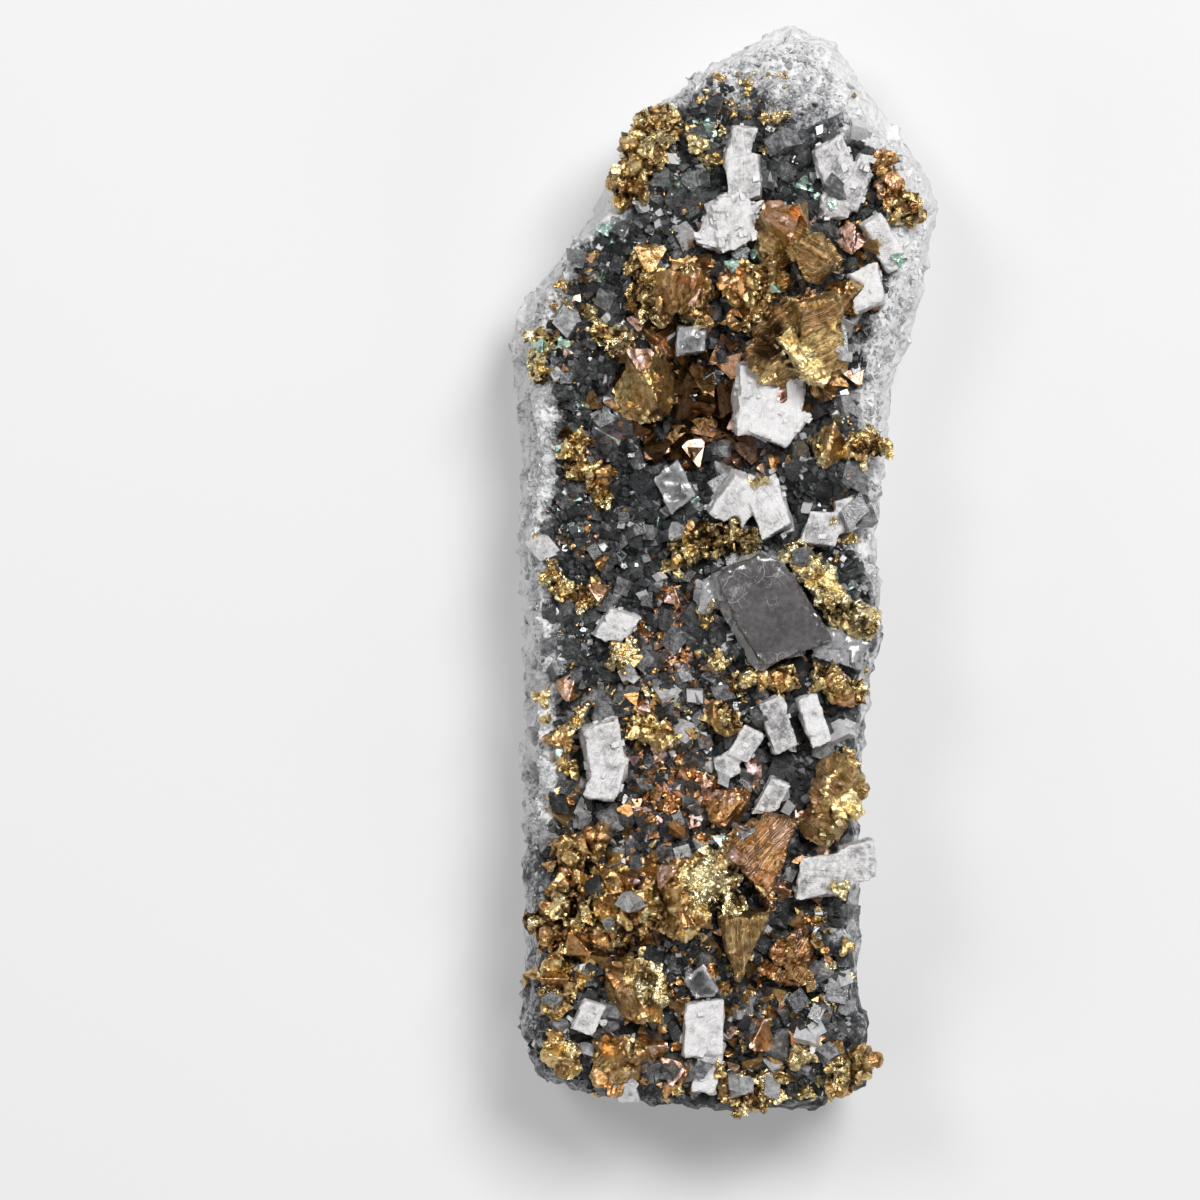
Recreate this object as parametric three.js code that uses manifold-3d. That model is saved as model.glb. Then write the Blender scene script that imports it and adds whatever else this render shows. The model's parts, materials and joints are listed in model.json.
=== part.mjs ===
// A hand-sized chalcopyrite specimen: brassy chalcopyrite crystals, white dolomite rhombs and one
// smoky calcite tablet, all grown on the drusy front of a broken slab of pale rock.
//
// Frame: millimetres. The specimen lies on the flat of its broken back, z = 0, with its crystal side
// up along +Z and its narrow pale tip towards +Y. The origin is on the resting face, mid-length.

import * as THREE from "three";
import { ConvexGeometry } from "three/addons/geometries/ConvexGeometry.js";
import { mergeVertices } from "three/addons/utils/BufferGeometryUtils.js";
import Module from "manifold-3d";

const wasm = await Module();
wasm.setup();

// ---------------------------------------------------------------- driving dimensions

const FRONT_HEIGHT = 16; // the front's mean height over the resting face
const STATIONS = 54; // points round each ring of the slab's sides
const SIDE_JITTER = 0.35; // fine unevenness of the broken sides
const LEDGE_DEPTH = 1; // how far the ledges of the broken sides stand out or back
const LEDGE_RUN = 4; // most points of a ring that share one ledge
const FRONT_STEP = 3.6; // spacing of the front's facets
const FRONT_SHIFT = 1.08; // how far the corners of the front's facets wander from even spacing
const FRONT_JITTER = 0.55; // unevenness of the front's facets
const FIELD = { width: 48, length: 108, depth: 40 }; // the block whose top the front is cut from
const SEAT_GAP = 0.3; // clearance between a crystal and what it is seated on or grows beside
const SINK = 0.2; // share of a crystal's depth by which its middle stands over the front
const RISE_STEP = 0.5; // lift for each whole step of a part's rise
const CROSS_LEAN = 0.7; // share of a part's lean that it also takes about its length axis
const BARE_RIM = 2.2; // rim round the front where no small crystals are fused

// Stubby grains of a cluster: their sides and the spacing of their rows in grain sizes, and how much
// their size, place, lean and rise wander.
const GRAIN_SIDES = [1.3, 1.1, 1.15];
const GRAIN_ROW = 0.75;
const GRAIN_WANDER = { size: 0.15, place: 0.12, lean: 20, rise: 0.4 };
const GRAIN_SHARE = 0.8; // the other parts of a cluster are tetrahedra

// Blades of a fan: share of the length from the root to the middle, widening of the pointed form,
// and the lift of every second blade.
const BLADE = { root: 0.42, swell: 1.5, stagger: 0.25 };

// Small crystals fused to the front: how many, over which stretch, sizes, lean and rise.
const SMALL_RHOMBS = { count: 38, over: [-18, 19, -47, 42], side: 1.5, spread: 1.8, lean: 30 };
const SMALL_TETRAS = { count: 16, over: [-10, 9, 6, 24], side: 1.8, spread: 1.2, lean: 35 };

// The widest outline, anticlockwise from the tip: x, y and the width of the sloping flank between
// the outline and the crystal-bearing front.
const OUTLINE = [
  [6.5, 48.8, 4.0],
  [3.9, 48.1, 3.4],
  [1.5, 46.4, 2.2],
  [-2.5, 44.3, 1.6],
  [-4.7, 42.0, 1.4],
  [-7.4, 40.1, 1.4],
  [-9.5, 36.4, 1.2],
  [-10.6, 32.4, 1.2],
  [-13.6, 28.7, 1.4],
  [-16.4, 25.2, 1.4],
  [-18.6, 21.9, 1.8],
  [-18.9, 19.8, 2.2],
  [-18.1, 15.8, 2.0],
  [-17.9, 10.4, 1.8],
  [-18.2, 2.4, 1.6],
  [-17.5, -4.8, 1.3],
  [-17.6, -20.9, 1.0],
  [-17.4, -37.9, 0.8],
  [-18.1, -42.0, 1.0],
  [-17.7, -44.6, 1.4],
  [-15.5, -45.8, 1.6],
  [-11.4, -47.3, 1.2],
  [-1.6, -48.7, 0.7],
  [2.8, -48.8, 0.8],
  [9.1, -48.3, 1.0],
  [12.9, -46.8, 1.0],
  [13.9, -44.2, 0.9],
  [12.9, -39.7, 0.8],
  [12.5, -29.9, 0.7],
  [12.9, -23.5, 0.8],
  [12.5, -17.3, 0.8],
  [13.4, -12.0, 0.8],
  [14.7, -7.9, 0.9],
  [14.5, 0.5, 1.2],
  [14.8, 5.9, 1.4],
  [15.5, 11.3, 1.8],
  [16.2, 16.7, 2.2],
  [18.3, 22.8, 2.6],
  [19.2, 27.3, 3.0],
  [20.3, 31.7, 3.2],
  [20.0, 34.6, 3.2],
  [17.4, 37.5, 3.0],
  [14.5, 40.7, 3.2],
  [12.5, 44.8, 3.8],
  [9.8, 47.5, 4.2],
];

// The slab's middle line, towards which its sides draw in.
const SPINE = [new THREE.Vector2(-1.5, -36), new THREE.Vector2(5, 34)];

// Rings of the slab's sides from the resting face up: height, draw-in, share of the flank width and
// share of the ledge depth.
const SIDE_RINGS = [
  { height: 0, inset: 3.0, flank: 0, ledge: 0.5 },
  { height: 2.6, inset: 1.4, flank: 0, ledge: 0.8 },
  { height: 4.4, inset: 1.1, flank: 0, ledge: 1 },
  { height: 8.2, inset: 0.1, flank: 0, ledge: 0.2 },
  { height: 11, inset: 0.5, flank: 0.25, ledge: 0.6 },
  { height: 12.6, inset: 0.6, flank: 0.5, ledge: 0.9 },
  { height: 16.5, inset: 0.2, flank: 1.1, ledge: 0.3 },
  { height: 24, inset: 1.5, flank: 1.8, ledge: 0 },
];

// Swells and hollows of the front: middle, reach and height.
const SWELLS = [
  { x: -1, y: 13.5, reach: 6.5, height: -3.4 }, // the pocket of small tetrahedra
  { x: 4.5, y: 24, reach: 7, height: 1.4 },
  { x: 5, y: -4, reach: 8, height: 1.5 },
  { x: -5, y: -29, reach: 10, height: 2.2 },
  { x: -10, y: 2, reach: 8, height: -0.8 },
  { x: 8, y: 44, reach: 9, height: -2.2 }, // the pale tip falls away
];

// ---------------------------------------------------------------- crystals

// Each crystal is one solid of one or more grown-together parts:
// [form, x, y, [width, length, depth], turn, lean, rise]
// Turn is anticlockwise about +Z and lean is about the part's own width axis, in degrees. Rise lifts
// the part over its usual seat. A cluster is [at, [length, width], turn, grains, grain size].

const CALCITE = [
  {
    name: "calcite_tablet",
    parts: [
      ["tablet", 4.4, -3.7, [6.8, 10.2, 2.8], 29, 5, 2.8],
      ["rhomb", -0.6, -2.3, [3.6, 2.8, 2.4], 14, 0, 1.4],
      ["rhomb", 10.6, -7.4, [5.0, 2.6, 2.4], -16, 0, 1.2],
    ],
  },
];

const CHALCOPYRITE = [
  {
    name: "chalcopyrite_large_crystal",
    parts: [
      ["rhomb", 8.5, 20.3, [4.4, 6.4, 6.4], 13, 10, 1.8],
      ["block", 6.0, 19.3, [7.0, 8.0, 6.8], -22, 6, 1.8],
    ],
  },
  {
    name: "chalcopyrite_block_left",
    parts: [["block", -6.4, 15.6, [6.4, 5.8, 6.0], 60, 8, 2.0]],
  },
  {
    name: "chalcopyrite_group_upper_left",
    parts: [
      ["block", -5.6, 23.7, [5.4, 5.0, 5.2], 35, 8, 1.6],
      ["block", -3.2, 24.5, [4.6, 4.8, 5.0], -20, -6, 1.8],
      ["tetra", -1.6, 24.2, [2.6, 3.0, 2.8], 40, 0, 2.2],
      ["tetra", -2.1, 22.3, [2.6, 3.0, 2.6], 75, 0, 1.4],
      ["block", -7.2, 26.5, [2.9, 2.7, 2.8], 10, 0, 1.2],
    ],
  },
  {
    name: "chalcopyrite_dark_group",
    parts: [
      ["block", 2.2, 24.8, [4.6, 4.2, 4.6], 25, 6, 1.8],
      ["block", 4.3, 25.4, [4.0, 3.6, 4.2], 70, 0, 1.4],
      ["block", 2.9, 21.8, [3.6, 3.4, 4.2], -15, -6, 1.2],
    ],
  },
  {
    name: "chalcopyrite_striated_group",
    parts: [
      ["rhomb", 8.6, 27.1, [3.2, 3.2, 4.8], 37, -14, 2.2],
      ["rhomb", 6.9, 28.6, [3.0, 2.8, 3.8], 30, 0, 1.6],
      ["tetra", 5.5, 29.4, [4.4, 3.8, 4.0], 15, 0, 2.0],
      ["block", 4.7, 27.7, [3.2, 3.8, 4.0], 20, 0, 1.0],
    ],
  },
  {
    name: "chalcopyrite_block_right",
    parts: [["block", 10.6, 23.6, [4.2, 3.4, 3.8], 10, 0, 0.8]],
  },
  {
    name: "chalcopyrite_crust_upper_left",
    cluster: { at: [-7.0, 36.2], span: [9.6, 4.4], turn: 66, count: 5, grain: 3.2, rise: 0 },
  },
  {
    name: "chalcopyrite_crust_upper_right",
    cluster: { at: [15.4, 33.2], span: [7.0, 3.0], turn: -66, count: 5, grain: 2.5, rise: 0 },
  },
  {
    name: "chalcopyrite_tetra_right",
    parts: [["tetra", 9.6, 10.6, [3.2, 3.4, 3.4], 30, 0, 1.0]],
  },
  {
    name: "chalcopyrite_lump_right",
    cluster: { at: [12.8, 10.6], span: [3.2, 2.8], turn: 40, count: 3, grain: 2.0, rise: 0.2 },
  },
  {
    name: "chalcopyrite_flake_left",
    cluster: { at: [-9.3, 20.1], span: [4.8, 2.0], turn: -18, count: 3, grain: 2.2, rise: 0.6 },
  },
  {
    name: "chalcopyrite_crust_left_edge",
    cluster: { at: [-15.9, 18.4], span: [4.8, 2.0], turn: 84, count: 3, grain: 2.0, rise: 0 },
  },
  {
    name: "chalcopyrite_chain_left",
    cluster: { at: [-11.6, 8.4], span: [8.0, 2.6], turn: -62, count: 5, grain: 2.4, rise: 0.4 },
  },
  {
    name: "chalcopyrite_sponge_centre",
    cluster: { at: [-0.6, 2.0], span: [7.6, 3.6], turn: 5, count: 5, grain: 2.6, rise: 0.8 },
  },
  {
    name: "chalcopyrite_ridge_right",
    cluster: { at: [9.5, -2.4], span: [11.0, 3.0], turn: -48, count: 6, grain: 3.0, rise: 1.2 },
  },
  {
    name: "chalcopyrite_crust_below_tablet",
    cluster: { at: [3.8, -9.9], span: [6.0, 2.0], turn: 8, count: 4, grain: 2.2, rise: 0.8 },
  },
  {
    name: "chalcopyrite_pair_right",
    parts: [
      ["block", 9.4, -9.2, [3.6, 3.6, 3.8], 20, 0, 1.0],
      ["block", 11.2, -11.1, [4.4, 3.2, 3.6], -15, 0, 0.4],
    ],
  },
  {
    name: "chalcopyrite_bar_left",
    parts: [
      ["block", -14.8, -1.0, [2.2, 3.4, 2.6], 10, 0, 0.6],
      ["block", -13.6, -2.2, [3.6, 2.2, 2.6], -20, 0, 0.8],
      ["tetra", -11.6, -2.6, [2.8, 2.6, 2.6], 20, 0, 0.8],
    ],
  },
  {
    name: "chalcopyrite_nugget_left",
    cluster: { at: [-8.6, -7.9], span: [3.0, 2.2], turn: 30, count: 3, grain: 2.1, rise: 0.4 },
  },
  {
    name: "chalcopyrite_group_left",
    parts: [
      ["wedge", -13.0, -13.9, [2.6, 5.2, 3.0], -38, 0, 1.2],
      ["block", -15.0, -12.4, [2.6, 2.4, 2.4], 25, 0, 0.4],
    ],
  },
  {
    name: "chalcopyrite_nugget_centre",
    cluster: { at: [-6.2, -14.7], span: [4.8, 2.6], turn: -28, count: 4, grain: 2.4, rise: 0.8 },
  },
  {
    name: "chalcopyrite_knob_centre",
    parts: [["block", 0.2, -13.2, [2.8, 3.6, 3.4], 35, 0, 1.2]],
  },
  {
    name: "chalcopyrite_bright_crystal",
    parts: [
      ["block", 10.4, -19.4, [4.6, 6.4, 5.6], -10, 0, 1.8],
      ["block", 9.2, -22.6, [4.4, 4.2, 4.6], 30, 0, 1.0],
    ],
  },
  {
    name: "chalcopyrite_tarnished_knob",
    parts: [["block", 0.7, -21.1, [4.0, 3.6, 4.0], 10, 12, 1.6]],
  },
  {
    name: "chalcopyrite_fan_centre",
    fan: { at: [3.8, -26.2], blade: [1.7, 8.2, 4.0], turn: 12, spread: 40, count: 4, rise: 1.0 },
  },
  {
    name: "chalcopyrite_mass_centre",
    parts: [
      ["block", -3.4, -29.3, [7.4, 6.0, 5.4], 60, -6, 1.8],
      ["block", -0.4, -26.9, [5.4, 4.8, 5.4], 15, 0, 1.8],
      ["block", 0.6, -29.6, [3.4, 3.6, 4.2], 40, 0, 1.4],
    ],
  },
  {
    name: "chalcopyrite_striated_wedge",
    parts: [["wedge", 1.9, -33.6, [5.0, 6.4, 4.8], 178, -6, 1.8]],
  },
  {
    name: "chalcopyrite_mass_left",
    cluster: { at: [-10.6, -30.2], span: [11.0, 7.4], turn: -12, count: 8, grain: 3.6, rise: 0.8 },
  },
  {
    name: "chalcopyrite_cluster_left",
    cluster: { at: [-12.0, -24.8], span: [4.8, 3.6], turn: 50, count: 4, grain: 2.9, rise: 0.6 },
  },
  {
    name: "chalcopyrite_crust_low_left",
    cluster: { at: [-14.4, -36.2], span: [6.0, 3.2], turn: 78, count: 4, grain: 2.6, rise: 0.2 },
  },
  {
    name: "chalcopyrite_block_low",
    parts: [["block", -7.4, -37.2, [5.8, 5.6, 5.4], 70, -8, 1.2]],
  },
  {
    name: "chalcopyrite_corner_left",
    parts: [["block", -13.9, -43.2, [4.6, 3.4, 3.8], -48, 0, 0.6]],
  },
  {
    name: "chalcopyrite_block_bottom",
    parts: [["block", -8.7, -43.8, [5.6, 5.4, 5.2], 20, 8, 0.6]],
  },
  {
    name: "chalcopyrite_corner_right",
    cluster: { at: [11.3, -44.4], span: [5.0, 3.6], turn: 55, count: 4, grain: 3.0, rise: 0 },
  },
  {
    name: "chalcopyrite_fan_right",
    fan: { at: [6.4, -35.2], blade: [1.3, 5.0, 3.2], turn: 40, spread: 60, count: 3, rise: 0.6 },
  },
  {
    name: "chalcopyrite_bottom_crust",
    cluster: { at: [2.6, -46.3], span: [6.0, 1.6], turn: 2, count: 4, grain: 2.3, rise: -0.2 },
  },
];

const DOLOMITE = [
  {
    name: "dolomite_stack_top",
    parts: [
      ["rhomb", 1.7, 37.0, [2.8, 3.8, 3.0], -6, 6, 0.8],
      ["rhomb", 2.2, 34.0, [3.8, 3.9, 3.2], 14, -6, 1.0],
    ],
  },
  {
    name: "dolomite_milky_lump",
    parts: [
      ["rhomb", 1.0, 30.4, [4.6, 4.4, 3.6], 25, 8, 0.8],
      ["rhomb", -0.4, 29.8, [3.0, 3.6, 3.0], -15, 0, 0.6],
      ["rhomb", 2.2, 31.6, [2.4, 2.6, 2.4], -30, 0, 0.8],
    ],
  },
  {
    name: "dolomite_blades_upper_right",
    parts: [
      ["rhomb", 10.0, 35.6, [4.0, 3.8, 3.0], 30, 6, 0.6],
      ["rhomb", 12.2, 33.8, [2.2, 5.0, 2.8], -16, 0, 0.8],
      ["rhomb", 10.2, 32.2, [3.2, 3.0, 2.4], 5, 0, 0.2],
    ],
  },
  {
    name: "dolomite_blade_right",
    parts: [["rhomb", 14.4, 28.5, [2.6, 5.0, 2.6], 36, 6, 0.8]],
  },
  {
    name: "dolomite_block_right",
    parts: [["rhomb", 13.0, 24.4, [3.6, 3.6, 3.0], 22, -6, 0.8]],
  },
  {
    name: "dolomite_block_centre",
    parts: [
      ["rhomb", 3.2, 15.0, [4.6, 6.2, 4.6], 6, 8, 2.6],
      ["rhomb", 5.2, 12.6, [4.8, 3.6, 4.2], -24, 0, 2.4],
      ["rhomb", 6.6, 14.6, [2.0, 4.2, 3.4], 4, 0, 1.8],
    ],
  },
  {
    name: "dolomite_pair_centre",
    parts: [
      ["rhomb", 1.5, 6.0, [4.2, 4.4, 3.8], -24, 10, 1.4],
      ["rhomb", 4.4, 5.2, [3.8, 4.8, 3.6], 28, -6, 1.2],
    ],
  },
  {
    name: "grey_rhomb_left",
    parts: [["rhomb", -4.0, 7.0, [3.6, 3.6, 2.0], 38, 0, 0.8]],
  },
  {
    name: "dolomite_group_right",
    parts: [
      ["rhomb", 9.0, 3.3, [4.0, 3.0, 2.6], -4, 0, 0.6],
      ["rhomb", 11.2, 4.5, [2.6, 3.0, 2.6], 15, 0, 0.8],
    ],
  },
  {
    name: "dolomite_rhomb_left",
    parts: [["rhomb", -9.1, -5.3, [3.6, 3.0, 2.8], -20, 6, 0.8]],
  },
  {
    name: "dolomite_block_left",
    parts: [
      ["rhomb", -10.3, -16.0, [4.2, 4.6, 4.0], 20, 6, 1.4],
      ["rhomb", -9.9, -18.7, [3.6, 3.6, 3.6], -6, -4, 1.4],
    ],
  },
  {
    name: "dolomite_rhomb_right_inner",
    parts: [["rhomb", 5.0, -13.9, [2.9, 4.8, 3.2], 24, 4, 1.6]],
  },
  {
    name: "dolomite_rhomb_right_outer",
    parts: [["rhomb", 8.2, -13.5, [2.5, 4.6, 3.0], 24, 4, 1.4]],
  },
  {
    name: "dolomite_rhomb_mid",
    parts: [
      ["rhomb", 2.3, -15.7, [2.6, 3.0, 2.8], -24, 0, 1.0],
      ["rhomb", 0.6, -17.6, [2.8, 2.2, 2.2], 28, 0, 0.6],
    ],
  },
  {
    name: "dolomite_rhomb_low_mid",
    parts: [["rhomb", 4.4, -20.6, [2.4, 4.0, 2.6], -22, 4, 1.0]],
  },
  {
    name: "dolomite_stack_lower_right",
    parts: [
      ["rhomb", 9.0, -27.3, [5.4, 3.6, 3.4], 8, -4, 1.4],
      ["rhomb", 12.0, -26.0, [4.0, 3.4, 3.0], 16, 6, 1.6],
    ],
  },
  {
    name: "dolomite_blade_low",
    parts: [
      ["rhomb", -1.5, -40.6, [4.4, 4.8, 3.0], 8, 5, 0.8],
      ["rhomb", -1.0, -44.2, [2.8, 4.6, 2.6], -6, -3, 0.8],
    ],
  },
  {
    name: "grey_rhomb_low",
    parts: [["rhomb", -1.6, -36.9, [3.0, 3.0, 2.4], 40, 0, 0.6]],
  },
  {
    name: "dolomite_rhomb_low_left",
    parts: [["rhomb", -11.6, -39.6, [2.6, 3.0, 2.6], -16, 6, 0.8]],
  },
  {
    name: "quartz_knob_centre",
    parts: [["rhomb", -2.5, 20.0, [3.4, 2.6, 3.0], 10, 0, 1.6]],
  },
];

// Colour, roughness and metalness of each mineral.
const MINERALS = {
  rock: { color: 0x77787a, roughness: 0.8, metalness: 0 },
  chalcopyrite: { color: 0xb08d4a, roughness: 0.32, metalness: 1 },
  dolomite: { color: 0xd2cfcd, roughness: 0.35, metalness: 0 },
  calcite: { color: 0x6f6b70, roughness: 0.12, metalness: 0 },
};

// ---------------------------------------------------------------- helpers

function seededRandom(seed) {
  let state = seed;
  return () => {
    state = (state * 1664525 + 1013904223) % 4294967296;
    return state / 4294967296;
  };
}

// A random number from -reach to +reach.
function jitter(random, reach) {
  return (random() * 2 - 1) * reach;
}

function toSolid(geometry) {
  const bare = geometry.clone();
  bare.deleteAttribute("normal");
  bare.deleteAttribute("uv");
  const merged = mergeVertices(bare, 1e-4);
  return new wasm.Manifold(
    new wasm.Mesh({
      numProp: 3,
      vertProperties: new Float32Array(merged.attributes.position.array),
      triVerts: new Uint32Array(merged.index.array),
    }),
  );
}

function toMesh(solid, name, mineral) {
  const { numProp, vertProperties, triVerts } = solid.getMesh();
  const geometry = new THREE.BufferGeometry();
  const corners = new Float32Array((vertProperties.length / numProp) * 3);
  for (let i = 0; i < corners.length / 3; i++) {
    corners.set(vertProperties.subarray(i * numProp, i * numProp + 3), i * 3);
  }
  geometry.setAttribute("position", new THREE.BufferAttribute(corners, 3));
  geometry.setIndex(new THREE.BufferAttribute(triVerts, 1));
  const mesh = new THREE.Mesh(geometry, new THREE.MeshStandardMaterial(MINERALS[mineral]));
  mesh.material.flatShading = true;
  mesh.name = name;
  return mesh;
}

// Cuts can leave loose chips and joins can shut in small voids: only the largest outer skin is kept.
function largest(solid) {
  return solid.decompose().sort((a, b) => b.volume() - a.volume())[0];
}

// ---------------------------------------------------------------- crystal forms

// Every form fills a box of one millimetre a side before it is sized.
function hull(points) {
  return new ConvexGeometry(points.map((p) => new THREE.Vector3(...p)));
}

// A tetrahedron, chalcopyrite's own form.
const TETRAHEDRON = [
  [0.5, 0.5, 0.5],
  [-0.5, -0.5, 0.5],
  [-0.5, 0.5, -0.5],
  [0.5, -0.5, -0.5],
];

// A tetrahedron with each corner cut back by a share of its edges.
function truncatedTetrahedron(cut) {
  return hull(
    TETRAHEDRON.flatMap((from) =>
      TETRAHEDRON.filter((to) => to !== from).map((to) =>
        from.map((v, i) => v + (to[i] - v) * cut),
      ),
    ),
  );
}

// A stubby grain with a tilted triangular face on top.
function grain() {
  return hull([
    [0.48, 0.12, 0.5],
    [-0.3, 0.5, 0.36],
    [-0.26, -0.44, 0.46],
    [-0.5, 0, -0.5],
    [0.3, -0.5, -0.34],
    [0.36, 0.48, -0.5],
  ]);
}

function rhombohedron() {
  const skew = Math.tan(THREE.MathUtils.degToRad(14)); // cleavage faces meet at about 76 degrees
  const box = new THREE.BoxGeometry(1 / (1 + skew), 1, 1);
  return box.applyMatrix4(new THREE.Matrix4().makeShear(0, 0, skew / (1 + skew), 0, 0, 0));
}

function wedge() {
  return hull([
    [-0.5, -0.5, -0.5],
    [0.5, -0.5, -0.5],
    [-0.4, -0.5, 0.36],
    [0.42, -0.46, 0.5],
    [0, 0.5, -0.5],
    [0.05, 0.46, 0.34],
  ]);
}

// A flat leaning plate with a cleaved corner, wider at its foot.
function tablet() {
  const edge = [
    [-0.42, 0.48],
    [0.26, 0.46],
    [0.45, 0.22],
    [0.49, -0.5],
    [-0.44, -0.4],
    [-0.48, 0.05],
  ];
  return hull([
    ...edge.map(([x, y]) => [x * 1.02, y, 0.5]),
    ...edge.map(([x, y]) => [x * 1.1 - 0.04, y * 1.04, -0.5]),
  ]);
}

const FORMS = {
  block: () => truncatedTetrahedron(0.3),
  tetra: () => hull(TETRAHEDRON),
  grain,
  rhomb: rhombohedron,
  wedge,
  tablet,
};

// ---------------------------------------------------------------- the rock slab

function frontHeight(x, y) {
  return SWELLS.reduce((z, swell) => {
    const away = Math.hypot(x - swell.x, y - swell.y) / swell.reach;
    return z + swell.height * Math.exp(-away * away);
  }, FRONT_HEIGHT);
}

function towardsSpine(x, y) {
  const [a, b] = SPINE;
  const along = new THREE.Line3(new THREE.Vector3(a.x, a.y), new THREE.Vector3(b.x, b.y));
  const nearest = along.closestPointToPoint(new THREE.Vector3(x, y), true, new THREE.Vector3());
  return new THREE.Vector2(nearest.x - x, nearest.y - y).normalize();
}

// The outline at even spacing, its flank width carried in z.
function outlineStations() {
  const corners = OUTLINE.map((p) => new THREE.Vector3(...p));
  const path = new THREE.CurvePath();
  corners.forEach((p, i) => path.add(new THREE.LineCurve3(p, corners[(i + 1) % corners.length])));
  return path.getSpacedPoints(STATIONS).slice(0, STATIONS);
}

// A closed solid through rings of equally many points, with flat-triangulated ends.
function loft(rings) {
  const count = rings[0].length;
  const faces = [];
  for (let r = 0; r + 1 < rings.length; r++) {
    for (let i = 0; i < count; i++) {
      const next = (i + 1) % count;
      const low = r * count;
      const high = low + count;
      faces.push([low + i, low + next, high + next], [low + i, high + next, high + i]);
    }
  }
  for (const [ring, start, up] of [
    [rings[0], 0, false],
    [rings.at(-1), (rings.length - 1) * count, true],
  ]) {
    const flat = ring.map((p) => new THREE.Vector2(p.x, p.y));
    for (const [a, b, c] of THREE.ShapeUtils.triangulateShape(flat, [])) {
      const anticlockwise = THREE.ShapeUtils.area([flat[a], flat[b], flat[c]]) > 0;
      const face = anticlockwise === up ? [a, b, c] : [a, c, b];
      faces.push(face.map((i) => start + i));
    }
  }
  const geometry = new THREE.BufferGeometry().setFromPoints(rings.flat());
  geometry.setIndex(faces.flat());
  return geometry;
}

// Runs of neighbouring points that stand out or back together.
function ledgeRuns(random) {
  const runs = [];
  while (runs.length < STATIONS) {
    const step = jitter(random, LEDGE_DEPTH);
    const run = 1 + Math.floor(random() * LEDGE_RUN);
    for (let i = 0; i < run; i++) runs.push(step);
  }
  return runs;
}

// The sides and the front are each built to size, or larger all round by a clearance.
function slabSides(clearance) {
  const random = seededRandom(11);
  const stations = outlineStations();
  const rings = SIDE_RINGS.map(({ height, inset, flank, ledge }) => {
    const steps = ledgeRuns(random);
    return stations.map((station, i) => {
      const inward = towardsSpine(station.x, station.y);
      const rough = steps[i] * ledge + jitter(random, SIDE_JITTER);
      const draw = inset + station.z * flank + rough - clearance;
      return new THREE.Vector3(
        station.x + inward.x * draw,
        station.y + inward.y * draw,
        height + (height > 0 ? jitter(random, SIDE_JITTER) : 0),
      );
    });
  });
  return toSolid(loft(rings));
}

function slabFront(clearance) {
  const random = seededRandom(23);
  const { width, length, depth } = FIELD;
  const columns = Math.round(width / FRONT_STEP);
  const rows = Math.round(length / FRONT_STEP);
  const box = new THREE.BoxGeometry(width, length, depth, columns, rows, 1);
  box.deleteAttribute("normal");
  box.deleteAttribute("uv");
  const field = mergeVertices(box, 1e-4);
  const corners = field.attributes.position;
  for (let i = 0; i < corners.count; i++) {
    if (corners.getZ(i) < 0) continue;
    const x = corners.getX(i) + jitter(random, FRONT_SHIFT);
    const y = corners.getY(i) + jitter(random, FRONT_SHIFT);
    corners.setXYZ(i, x, y, frontHeight(x, y) + jitter(random, FRONT_JITTER) + clearance);
  }
  return toSolid(field);
}

function slab(clearance) {
  return slabSides(clearance).intersect(slabFront(clearance));
}

// ---------------------------------------------------------------- growing the crystals

// One part of a crystal, and the slightly larger space that it keeps from its neighbours.
function grow([form, x, y, size, turn, lean, rise]) {
  const place = new THREE.Object3D();
  place.rotation.set(
    THREE.MathUtils.degToRad(lean),
    THREE.MathUtils.degToRad(lean * CROSS_LEAN),
    THREE.MathUtils.degToRad(turn),
    "ZXY",
  );
  place.position.set(x, y, frontHeight(x, y) + size[2] * SINK + rise * RISE_STEP);
  const sized = (grown) => {
    place.scale.set(...size.map((side) => side + grown));
    place.updateMatrix();
    return toSolid(FORMS[form]().applyMatrix4(place.matrix));
  };
  return { solid: sized(0), space: sized(2 * SEAT_GAP) };
}

function union(grown) {
  return grown.reduce((all, one) => ({
    solid: all.solid.add(one.solid),
    space: all.space.add(one.space),
  }));
}

// Stubby grains packed in staggered rows along a bar, so that each overlaps the next.
function clusterParts({ at, span, turn, count, grain, rise }, random) {
  const heading = THREE.MathUtils.degToRad(turn);
  const rows = Math.max(1, Math.round(span[1] / grain));
  const perRow = Math.ceil(count / rows);
  return Array.from({ length: count }, (_, i) => {
    const row = Math.floor(i / perRow);
    const along = ((i % perRow) + (row % 2) / 2) / (perRow - (rows > 1 ? 0.5 : 1)) - 0.5;
    const u = along * (span[0] - grain);
    const wander = jitter(random, grain * GRAIN_WANDER.place);
    const v = (row - (rows - 1) / 2) * grain * GRAIN_ROW + wander;
    const sides = GRAIN_SIDES.map((side) => grain * side * (1 + jitter(random, GRAIN_WANDER.size)));
    return [
      random() < GRAIN_SHARE ? "grain" : "tetra",
      at[0] + u * Math.cos(heading) - v * Math.sin(heading),
      at[1] + u * Math.sin(heading) + v * Math.cos(heading),
      sides,
      random() * 360,
      jitter(random, GRAIN_WANDER.lean),
      rise + jitter(random, GRAIN_WANDER.rise),
    ];
  });
}

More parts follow.
